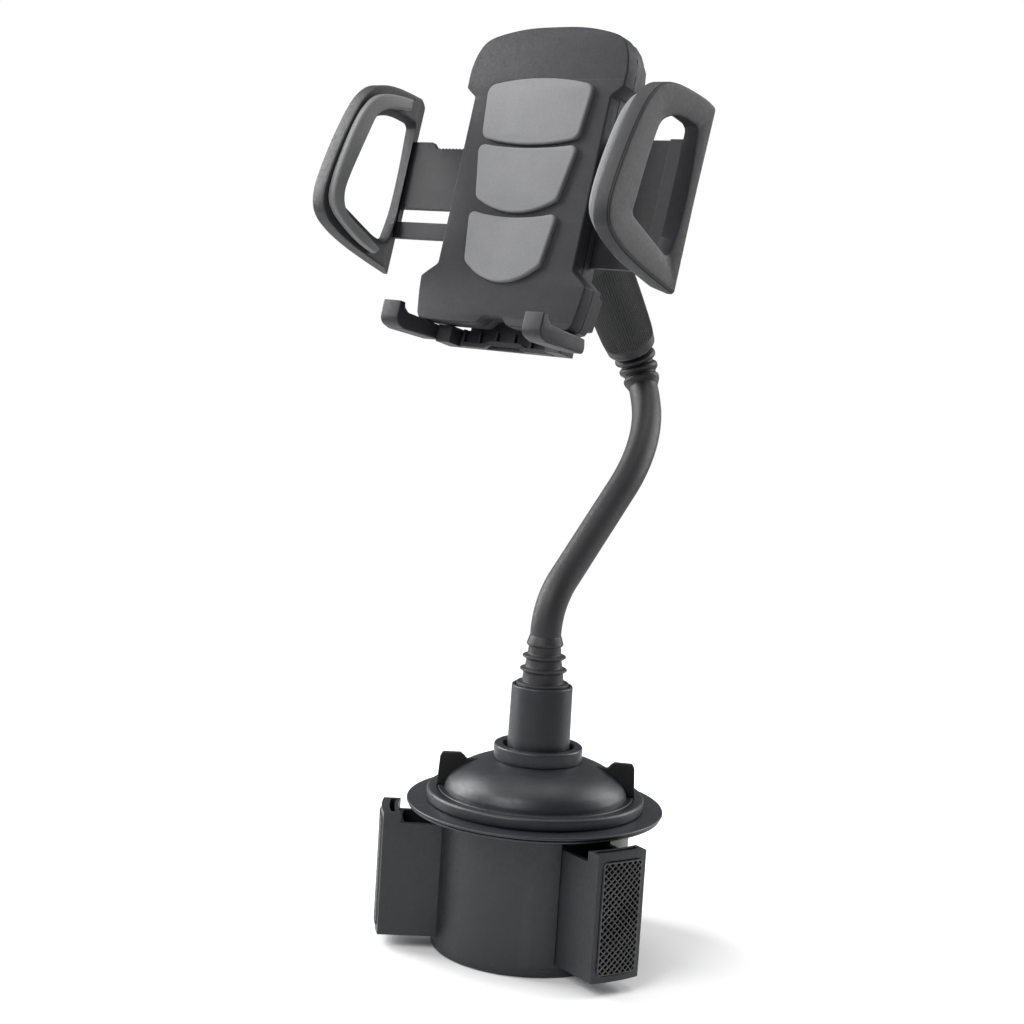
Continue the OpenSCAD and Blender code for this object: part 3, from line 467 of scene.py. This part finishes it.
def knurled_pad(side):
    """A wing's rubber face: a fine grid bent round the base, closed at the back, with painted shade in its
    pits.
    """
    azimuth = math.radians(WINGS[side])
    columns, rows = 112, 270
    verts, faces = [], []
    for j in range(rows + 1):
        z = GRIP_FOOT + (GRIP_HEAD - GRIP_FOOT) * j / rows
        for i in range(columns + 1):
            t = -GRIP_HALF + 2 * GRIP_HALF * i / columns
            x = math.sqrt((GRIP_OUT - knurl_depth(t, z)) ** 2 - t * t)
            verts.append((x * math.cos(azimuth) - t * math.sin(azimuth),
                          x * math.sin(azimuth) + t * math.cos(azimuth), z))
    w = columns + 1
    for j in range(rows):
        for i in range(columns):
            faces.append((j * w + i, j * w + i + 1, (j + 1) * w + i + 1, (j + 1) * w + i))
    rim = ([i for i in range(w)] + [j * w + columns for j in range(1, rows + 1)]
           + [rows * w + i for i in range(columns - 1, -1, -1)] + [j * w for j in range(rows - 1, 0, -1)])
    start, n = len(verts), len(rim)
    for k in rim:
        v = Vector(verts[k])
        verts.append(v - Vector((v.x, v.y, 0)).normalized() * GRIP_BACK)
    for k in range(n):
        q = (k + 1) % n
        faces.append((rim[k], rim[q], start + q, start + k))
    faces.append(tuple(range(start, start + n)))
    pad = mesh("grip_pad_" + side, verts, faces)
    finish(pad, KNURL, "wing_%s_slide" % side, ["wing_pad_" + side], 25)
    # faces sunk deeper than 0.55 mm take the near-black material: painted shade in the knurl's pits
    pad.data.materials.append(PIT_SHADE)
    for poly in pad.data.polygons:
        if math.hypot(poly.center.x, poly.center.y) < (GRIP_OUT - 0.55) * MM:
            poly.material_index = 1


# ---------- neck ----------


def run_to(pts, end, step):
    """Adds points from the last one straight to end."""
    last = pts[-1].copy()
    n = max(int((end - last).length / step), 1)
    pts += [last.lerp(end, k / n) for k in range(1, n + 1)]


def path(corners, radii, step=1.0):
    """Points along a line with rounded bends, about step mm apart, and the distance to each."""
    pts = [corners[0].copy()]
    for before, corner, after, radius in zip(corners, corners[1:], corners[2:], radii):
        a, b = unit(corner - before), unit(after - corner)
        bend = a.angle(b)
        start = corner - a * (radius * math.tan(bend / 2))
        n = unit(b - a * a.dot(b))
        mid = start + n * radius
        run_to(pts, start, step)
        count = max(int(radius * bend / step), 8)
        for k in range(1, count + 1):
            t = bend * k / count
            pts.append(mid - radius * (n * math.cos(t) - a * math.sin(t)))
    run_to(pts, corners[-1], step)
    dist = [0.0]
    for p, q in zip(pts, pts[1:]):
        dist.append(dist[-1] + (q - p).length)
    return pts, dist


def sweep(name, pts, radius, n=56):
    """A round bar along the points; radius is a number or a list."""
    verts = []
    side = unit(pts[1] - pts[0]).orthogonal().normalized()
    for i, p in enumerate(pts):
        t = unit(pts[min(i + 1, len(pts) - 1)] - pts[max(i - 1, 0)])
        side = unit(side - t * t.dot(side))
        over = t.cross(side)
        r = radius[i] if isinstance(radius, list) else radius
        for k in range(n):
            a = 2 * math.pi * k / n
            verts.append(p + r * (math.cos(a) * side + math.sin(a) * over))
    return mesh(name, verts, bands(len(pts), n))


# the tube's radius, and the height of its foot in the post
TUBE, TUBE_FOOT = 5.3, 88
# from the ball's centre back to the tube's end, and to the collar's foot
TUBE_END, COLLAR_FOOT = 30.2, 61
# from the tube's end back to the upper boot, and how long the boot is
BOOT_AT, BOOT_LENGTH = 30.4, 16.2
# how far the lower hinge stands past its bend, the upper one before its own, and how far the rubber bends to
# either side of them
PAST_BEND, BEFORE_BEND, BEND_REACH = 5, 4, 12


def neck():
    """The tube in two pieces that meet between the neck's hinges, each swept along the neck's fixed bends
    past one of them.
    """
    d1 = unit(P2 - P1)
    turn1 = Vector((0, 0, 1)).angle(d1)
    turn2 = d1.angle(unit(P3 - P2))
    joint1 = P1 + d1 * (R1 * math.tan(turn1 / 2) + PAST_BEND)
    joint2 = P2 - d1 * (R2 * math.tan(turn2 / 2) + BEFORE_BEND)
    middle = (joint1 + joint2) / 2
    pts, _ = path([Vector((0, 0, TUBE_FOOT)), P1, middle], [R1])
    lower = finish(sweep("tube_lower", pts, TUBE), RUBBER, None, ["sheath_lower", "sheath_middle"], 60)
    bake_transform(lower)
    pts, _ = path([middle, P2, P3, ball - TUBE_END * neck_dir], [R2, R3])
    upper = finish(sweep("tube_upper", pts, TUBE), RUBBER, None, ["sheath_upper"], 60)
    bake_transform(upper)


def height_at(curve, x):
    """The curve's second coordinate where its first is x."""
    for q, w in zip(curve, curve[1:]):
        if q.x <= x <= w.x:
            return q.y + (w.y - q.y) * (x - q.x) / max(w.x - q.x, 1e-6)
    return curve[-1].y


def upper_boot():
    """The boot below the collar: three soft rings that shrink down the bend."""
    pts, dist = path([P2, P3, ball - TUBE_END * neck_dir], [R3], 0.25)
    shape = smooth_curve([(0, 7.6), (1.0, 7.5), (1.8, 6.2), (2.4, 6.1), (3.0, 7.0), (3.8, 7.55), (5.0, 7.5),
                          (5.9, 6.8), (6.4, 6.0), (7.0, 6.1), (7.6, 6.9), (8.4, 7.15), (9.4, 7.0),
                          (10.2, 6.3), (10.8, 5.8), (11.4, 5.9), (12.0, 6.4), (12.8, 6.6), (13.8, 6.4),
                          (14.8, 5.9), (15.8, 5.45), (BOOT_LENGTH, 5.1)], 4)
    line, radii = [], []
    for p, d in zip(pts, dist):
        back = dist[-1] - d - BOOT_AT
        if -0.1 <= back <= BOOT_LENGTH:
            line.append(p)
            radii.append(height_at(shape, max(back, 0)))
    finish(sweep("boot_upper", line, radii), RUBBER, "neck_top", ["upper_bellows"], 60)


def grip():
    """The ribbed collar: fine ribs round a tapered sleeve, with plain bands at its ends."""
    rows = smooth_curve([(8.0, 0.3), (8.5, 0.35), (8.9, 1.0), (9.1, 2.6), (9.4, 4.6), (9.7, 8.0),
                         (10.0, 16.0), (10.2, 26.0), (10.2, 36.0), (10.2, 40.5), (10.1, 42.4), (9.6, 43.2),
                         (8.4, 43.4)], 5)
    ribs, rib_depth, ribs_from, ribs_to, fade = 72, 0.28, 3.6, 39.5, 0.8
    n = 7 * ribs
    verts = []
    for r0, z in rows:
        depth = rib_depth * min(max((z - ribs_from) / fade, 0), 1) * min(max((ribs_to - z) / fade, 0), 1)
        for k in range(n):
            a = 2 * math.pi * k / n
            r = r0 - depth * (0.5 - 0.5 * math.cos(a * ribs)) ** 0.6
            verts.append((r * math.cos(a), r * math.sin(a), z))
    sleeve = mesh("grip_ribs", verts, bands(len(rows), n), along(ball - COLLAR_FOOT * neck_dir, neck_dir))
    finish(sleeve, GRIP, "neck_top", ["grip_sleeve"], 50)


# ---------- cradle ----------

# the right half of the face's outline, from the middle of its head to the middle of its foot
HALF = [(0, 54.5), (12, 54.3), (22, 52.7), (29.4, 50.6), (32.8, 46.0), (34.3, 40.0), (34.3, 36.0),
        (34.2, 33.4, 1.0), (32.4, 32.0, 1.2), (29.7, 30.2, 1.5), (29.7, -29.1, 2), (33.1, -31.4, 1.5),
        (36.3, -33.8, 1.2), (35.7, -39.5, 6), (34.4, -46.8, 3), (33.2, -48.6, 1.5), (30.4, -49.2, 1.5),
        (8.0, -49.2, 0.8), (6.4, -48.6, 0.5), (4.4, -46.8, 0.6), (3.0, -46.3, 0.6)]


def shell_outline():
    """The face's outline, with its left half mirrored from the right one."""
    return outline(HALF + [(-p[0], *p[1:]) for p in reversed(HALF[1:])])


# each pad: the height of its head and foot, half its width there, and how far each bows up at its ends
PADS = {
    "top": (36.0, 12.9, 23.0, 21.0, -2.4, 2.3),
    "middle": (11.7, -10.7, 21.8, 17.8, 1.5, 4.8),
    "bottom": (-12.4, -34.6, 19.3, 16.6, 2.1, 6.4),
}
PAD_CORNER = 3.4
# the front shell's thickness, and how deep a pad sits in it
SHELL_DEPTH, RECESS = 5.45, 0.9


def pad_outline(head, foot, head_half, foot_half, head_bow, foot_bow, grow=0.0):
    """A pad's outline with its head and foot bowed; grow makes it larger all round."""
    across = [-1] + [k / 10 for k in range(-7, 8)] + [1]
    top = [(head_half * t, head + head_bow * t ** 2) for t in across]
    low = [(foot_half * t, foot + foot_bow * t ** 2) for t in reversed(across)]
    pts = [(x, z, PAD_CORNER if abs(abs(x) - half) < 1e-6 else 0)
           for half, row in ((head_half, top), (foot_half, low)) for x, z in row]
    pts = rounded(pts, 0, 5)
    out = []
    for i, p in enumerate(pts):
        t = (pts[(i + 1) % len(pts)] - pts[i - 1]).normalized()
        out.append(p + Vector((-t.y, t.x)) * grow)
    return out


def cut_away(obj, cutters, lip):
    """Takes the cutters out of obj, eases the new edges by lip mm, and removes the cutters."""
    for cut in cutters:
        mod = obj.modifiers.new("recess", "BOOLEAN")
        mod.operation = "DIFFERENCE"
        mod.object = cut
        mod.solver = "EXACT"
    bev = obj.modifiers.new("ease", "BEVEL")
    bev.width = lip * MM
    bev.segments = 2
    bev.limit_method = "ANGLE"
    bev.angle_limit = math.radians(60)
    bpy.context.view_layer.update()
    result = bpy.data.meshes.new_from_object(obj.evaluated_get(bpy.context.evaluated_depsgraph_get()))
    obj.modifiers.clear()
    obj.data = result
    for cut in cutters:
        bpy.data.objects.remove(cut)


def face():
    """The front shell with a shallow recess for each pad, and the pads crowned in them."""
    body = plate("cradle_front", shell_outline(), 0, SHELL_DEPTH, 0.6, FACE, 3)
    cut_away(body, [plate("cut_" + name, pad_outline(*spec, grow=0.4), -1.0, RECESS, 0.02, FACE, 1)
                    for name, spec in PADS.items()], 0.22)
    finish(body, SHELL, "cradle", ["front_shell"], 30)
    for name, spec in PADS.items():
        pad = plate("phone_pad_" + name, pad_outline(*spec), -1.8, RECESS - 0.02, 0.75, FACE, 4)
        finish(pad, PAD, "cradle", ["pad_" + name], 30)


# ---------- arms ----------

# outlines in the cradle's y, z: the loop's outer edge, its slot at the inner face, the slot's edge at the
# outer face, and the soft strip along the loop
ARM_OUT = [(11.3, 30.0, 1.0), (7.0, 30.9), (-2.0, 31.0), (-11.0, 30.4), (-18.6, 28.0), (-23.6, 22.0),
           (-26.6, 14.0), (-29.4, 4.0), (-31.4, -6.0), (-32.4, -14.6), (-30.2, -21.6), (-23.0, -25.6),
           (-13.0, -28.4), (-2.0, -30.4), (10.2, -32.2, 0.5)]
ARM_SLOT = [(4.8, 21.6, 3.2), (-4.0, 22.3), (-11.5, 21.6), (-17.2, 18.6), (-19.4, 11.0), (-21.6, 2.0),
            (-23.8, -6.0), (-24.8, -13.2), (-21.6, -18.6), (-13.0, -21.6), (-3.4, -24.2), (2.6, -23.0),
            (4.6, -14.0), (4.8, 0.0)]
ARM_LIP = [(4.6, 21.4, 2.8), (-4.0, 21.7), (-9.7, 20.2), (-14.6, 16.8), (-15.8, 11.4), (-17.0, 3.0),
           (-18.1, -7.0), (-19.0, -14.4, 2.4), (-5.2, -19.2), (3.2, -22.0, 2.4), (5.4, -13.0), (6.0, -4.0),
           (5.8, 8.0)]
STRIP = [(-2.6, 28.2, 0.5), (-11.8, 27.0), (-20.0, 24.2), (-24.4, 18.0), (-27.0, 10.5), (-29.2, 1.0),
         (-30.8, -9.0), (-30.6, -16.6), (-26.6, -20.8), (-19.6, -24.2), (-12.0, -27.0), (-4.4, -28.4, 1.4),
         (-2.6, -26.2, 1.2), (-6.6, -24.6), (-12.0, -22.6), (-18.0, -20.6), (-23.4, -18.0), (-25.6, -12.6),
         (-24.4, -5.6), (-22.4, 2.2), (-20.2, 10.6), (-18.2, 18.0), (-13.0, 21.4), (-8.0, 22.8),
         (-2.6, 24.2, 0.5)]
ARM_CENTRE = Vector((-9.0, -1.0))
# an arm's inner and outer face, and the inner face of its strip, from the cradle's middle
ARM_INNER, ARM_OUTER, STRIP_INNER = 58.3, 64.5, 55.1
# the inner face slants outward behind this depth, by this much a millimetre, and leaves a thin edge
SLANT_FROM, SLANT, SLANT_END = 3.9, 0.63, 63.7


def ray_hit(loop, centre, a):
    """How far the loop lies from centre in direction a."""
    d = Vector((math.cos(a), math.sin(a)))
    best = 0.0
    for i, p in enumerate(loop):
        e, w = loop[(i + 1) % len(loop)] - p, p - centre
        den = d.x * e.y - d.y * e.x
        if abs(den) < 1e-9:
            continue
        t = (w.x * e.y - w.y * e.x) / den
        s = (w.x * d.y - w.y * d.x) / den
        if t > 0 and -1e-6 <= s <= 1 + 1e-6:
            best = max(best, t)
    return best


def arm_section(ro, lip, ri, rows=10):
    """An arm's section on one ray, as (distance, x): rim, crease, outer face, slot wall, inner face."""
    across = ro - lip
    section = [(ro, ARM_INNER + 1.0), (ro, ARM_OUTER - 0.95), (ro - 0.12, ARM_OUTER - 0.7),
               (ro - 0.38, ARM_OUTER - 0.72), (ro - 0.55, ARM_OUTER - 0.2), (ro - 0.75, ARM_OUTER - 0.05)]
    for k in range(rows + 1):
        t = k / rows
        section.append((ro - 1.0 - (across - 1.5) * t, ARM_OUTER - 0.7 * min(across / 12, 1) * t ** 2))
    last = section[-1][1]
    section += [(lip + 0.2, last - 0.12), (lip, last - 0.45)]
    section += [(ri, ARM_INNER + 0.5), (ri + 0.15, ARM_INNER + 0.15), (ri + 0.5, ARM_INNER)]
    section += [(ri + 0.5 + (ro - ri - 1.0) * k / rows, ARM_INNER) for k in range(1, rows)]
    return section + [(ro - 0.5, ARM_INNER), (ro - 0.15, ARM_INNER + 0.15), (ro, ARM_INNER + 0.5)]


def mirrored(obj):
    """Turns a right-hand piece into the left-hand one."""
    flip = Matrix.Scale(-1, 4, (1, 0, 0))
    obj.data.transform(to_m @ cradle @ flip @ cradle.inverted() @ to_m.inverted())
    obj.data.flip_normals()


def paint_slot_shade(obj):
    """The slot's wall gets a darker, duller copy of the arm plastic: painted shade inside the slot."""
    obj.data.materials.append(SLOT_SHADE)
    back = (to_m @ cradle).inverted()
    flat = back.to_3x3()
    for poly in obj.data.polygons:
        at = back @ poly.center
        n = (flat @ poly.normal).normalized()
        inward = Vector((0, ARM_CENTRE.x - at.y, ARM_CENTRE.y - at.z)).normalized()
        if abs(n.x) < 0.75 and n.dot(inward) > 0.35 and abs(at.x) < ARM_OUTER - 0.2:
            poly.material_index = 1


def ray_angles(loops, count=200):
    """Even angles round the arm's centre, and the angle of each point of the loops."""
    full = 2 * math.pi
    angles = {round(full * k / count, 4) for k in range(count)}
    for loop in loops:
        angles |= {round(math.atan2(p.y - ARM_CENTRE.y, p.x - ARM_CENTRE.x) % full, 4) for p in loop}
    return sorted(angles)


def arm(side):
    """A closed loop frame: a crisp rim, an outer face that falls softly into the slot, a slanted back."""
    loops = [outline(ARM_OUT), outline(ARM_LIP), outline(ARM_SLOT)]
    angles = ray_angles(loops)
    verts, faces = [], []
    for a in angles:
        d = Vector((math.cos(a), math.sin(a)))
        section = arm_section(*(ray_hit(loop, ARM_CENTRE, a) for loop in loops))
        for reach, x in section:
            p = ARM_CENTRE + d * reach
            slant = ARM_INNER + max(p.x - SLANT_FROM, 0) * SLANT
            verts.append((max(x, min(slant, SLANT_END)), p.x, p.y))
    m, n = len(section), len(angles)
    for i in range(n):
        j = (i + 1) % n
        for k in range(m):
            q = (k + 1) % m
            faces.append((i * m + k, i * m + q, j * m + q, j * m + k))
    loop_frame = mesh("clamp_arm_" + side, verts, faces, cradle)
    strip = plate("arm_grip_" + side, outline(STRIP), STRIP_INNER, ARM_INNER + 0.05, 0.95, SIDE, 4)
    if side == "left":
        mirrored(loop_frame)
        mirrored(strip)
    finish(loop_frame, ARM, side + "_arm", ["arm_" + side], 30)
    paint_slot_shade(loop_frame)
    finish(strip, ARMPAD, side + "_arm", ["arm_pad_" + side], 30)


# ---------- feet and spring ----------

# from the cradle's middle to a foot, and its width
FOOT_AT, FOOT_WIDTH = 27.3, 8


def feet():
    """The two feet, each a flat ledge with an upturned hook in front."""
    foot = rounded([(-16.0, -46.6, 0.5), (-13.3, -46.6, 0.5), (-13.0, -48.2, 1.6), (-10.8, -49.55, 1.6),
                    (7.2, -49.6, 0.8), (8.0, -52.4, 1.5), (7.8, -54.6, 1.2), (-11.0, -55.6, 2),
                    (-16.0, -54.4, 3.6)], 1, 6)
    for side, x0 in (("left", -FOOT_AT - FOOT_WIDTH), ("right", FOOT_AT)):
        piece = plate("foot_rest_" + side, foot, x0, x0 + FOOT_WIDTH, 0.55, SIDE, 3)
        finish(piece, FOOT, "feet", ["foot_" + side], 30)


def spring():
    """The pawl's spring: a flat zigzag wire."""
    depth, near, far, foot, rise = 7.1, -10.2, -14.8, 26.2, 1.7
    zig = []
    for k in range(5):
        z = foot + rise * k
        zig += [(far, z), (near, z)] if k % 2 == 0 else [(near, z), (far, z)]
    pts = [cradle @ Vector((x, depth, z)) for x, z in zig]
    wire, _ = path(pts, [0.5] * (len(pts) - 2), 0.3)
    coil = finish(sweep("pawl_spring_wire", wire, 0.3, 16), STEEL, "cradle", ["pawl_spring"], 40)
    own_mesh(coil)


# ---------- the object ----------

# the CAD nodes that are shown as they are: each with its finish and the width of its eased edges
CARRIED = {
    "bottom_cap": (BARREL, 0.35),
    "base_barrel": (BARREL, 0.35),
    "center_column": (SATIN, 0),
    "cam_plate": (NATURAL, 0),
    "wing_left": (WING, 0.3),
    "wing_right": (WING, 0.3),
    "wing_rear": (WING, 0.3),
    "collar_core": (GRIP, 0.3),
    "ball_stud": (GRIP, 0),
    "ball_socket": (REAR, 0),
    "lock_nut": (GRIP, 0.4),
    "socket_retainer": (REAR, 0.4),
    "rear_shell": (REAR, 0.4),
    "slide_plate_left": (SLIDE, 0.12),
    "slide_plate_right": (SLIDE, 0.25),
    "release_button": (BLACK, 0.3),
    "foot_bracket": (FOOT, 0.15),
    "pinion": (NATURAL, 0),
    "ratchet_pawl": (NATURAL, 0),
}

flange()
knob()
collar_and_post()
tabs()
for side in WINGS:
    knurled_pad(side)
neck()
upper_boot()
grip()
face()
arm("left")
arm("right")
feet()
spring()

for name, (mat, bevel) in CARRIED.items():
    dress(name, mat, bevel)
for name in nodes:
    if "screw" in name or name.startswith(("core", "cam_pin")):
        dress(name, STEEL, 0)

# ---------- stage, light and camera ----------


def fading_floor(radius=1600, inner=0.22, outer=0.75, below=-0.05):
    """A pale disc, radius mm wide, that melts into the white world from inner to outer metres out."""
    n = 96
    verts = [(0, 0, below)]
    for k in range(n):
        a = 2 * math.pi * k / n
        verts.append((radius * math.cos(a), radius * math.sin(a), below))
    floor = mesh("floor", verts, [(0, k + 1, (k + 1) % n + 1) for k in range(n)])
    mat = material("floor_paint", (0.88, 0.88, 0.88), 0.8, grain=3, bump=0.02, vary=0.01, spec=0.1,
                   mottle=400)
    tree = mat.node_tree
    link = tree.links.new
    coord = tree.nodes.new("ShaderNodeTexCoord")
    distance = tree.nodes.new("ShaderNodeVectorMath")
    distance.operation = "LENGTH"
    link(coord.outputs["Object"], distance.inputs[0])
    fade = tree.nodes.new("ShaderNodeMapRange")
    fade.interpolation_type = "SMOOTHSTEP"
    fade.inputs["From Min"].default_value = inner
    fade.inputs["From Max"].default_value = outer
    link(distance.outputs["Value"], fade.inputs["Value"])
    clear = tree.nodes.new("ShaderNodeBsdfTransparent")
    mix = tree.nodes.new("ShaderNodeMixShader")
    link(fade.outputs["Result"], mix.inputs["Fac"])
    link(tree.nodes["Principled BSDF"].outputs["BSDF"], mix.inputs[1])
    link(clear.outputs["BSDF"], mix.inputs[2])
    link(mix.outputs["Shader"], tree.nodes["Material Output"].inputs["Surface"])
    floor.data.materials.append(mat)


def studio_world(seen=1.0, ambient=0.22):
    """White to look at, dimmer as a light, so that the lamps shape the object."""
    world = bpy.data.worlds.new("studio")
    bpy.context.scene.world = world
    world.use_nodes = True
    tree = world.node_tree
    light = tree.nodes["Background"]
    light.inputs["Color"].default_value = (1, 1, 1, 1)
    light.inputs["Strength"].default_value = ambient
    sky = tree.nodes.new("ShaderNodeBackground")
    sky.inputs["Color"].default_value = (1, 1, 1, 1)
    sky.inputs["Strength"].default_value = seen
    ray = tree.nodes.new("ShaderNodeLightPath")
    mix = tree.nodes.new("ShaderNodeMixShader")
    tree.links.new(ray.outputs["Is Camera Ray"], mix.inputs["Fac"])
    tree.links.new(light.outputs["Background"], mix.inputs[1])
    tree.links.new(sky.outputs["Background"], mix.inputs[2])
    tree.links.new(mix.outputs["Shader"], tree.nodes["World Output"].inputs["Surface"])


def softbox(name, where, look, width, power, height=None):
    """An area lamp at where that faces look, in metres and watts, and stays out of the picture."""
    lamp = bpy.data.lights.new(name, "AREA")
    lamp.energy = power
    lamp.size = width
    if height:
        lamp.shape = "RECTANGLE"
        lamp.size_y = height
    obj = bpy.data.objects.new(name, lamp)
    bpy.context.scene.collection.objects.link(obj)
    obj.location = where
    obj.rotation_euler = (Vector(look) - Vector(where)).to_track_quat("-Z", "Y").to_euler()
    obj.visible_camera = False


def camera(where, pitch, pan, roll, lens, sensor=36):
    """A camera at where that looks along +Y, tipped down by pitch, turned by pan and rolled, in degrees."""
    data = bpy.data.cameras.new("camera")
    data.sensor_width = sensor
    data.lens = lens
    data.clip_start = 0.01
    obj = bpy.data.objects.new("camera", data)
    bpy.context.scene.collection.objects.link(obj)
    pitch, pan, roll = math.radians(pitch), math.radians(pan), math.radians(roll)
    ahead = Vector((math.sin(pan) * math.cos(pitch), math.cos(pan) * math.cos(pitch), -math.sin(pitch)))
    level = ahead.cross(Vector((0, 0, 1))).normalized()
    upright = level.cross(ahead)
    right = math.cos(roll) * level + math.sin(roll) * upright
    up = -math.sin(roll) * level + math.cos(roll) * upright
    obj.matrix_world = Matrix.Translation(where) @ Matrix((right, up, -ahead)).transposed().to_4x4()
    bpy.context.scene.camera = obj


fading_floor()
studio_world()
softbox("left_box", (-0.90, 0.36, 0.56), (0, 0, 0.12), 0.6, 18, 0.9)
softbox("right_box", (0.88, 0.42, 0.56), (0, 0, 0.12), 0.6, 10, 0.9)
softbox("front_key", (-0.66, -0.76, 0.92), (0, 0, 0.20), 0.7, 11)
softbox("top_box", (0.0, 0.15, 1.25), (0, 0, 0.1), 0.7, 6)
camera((0, -0.6693, 0.2327), pitch=7.017, pan=-1.205, roll=3.659, lens=70.3125)
bpy.context.scene.view_settings.view_transform = "Standard"
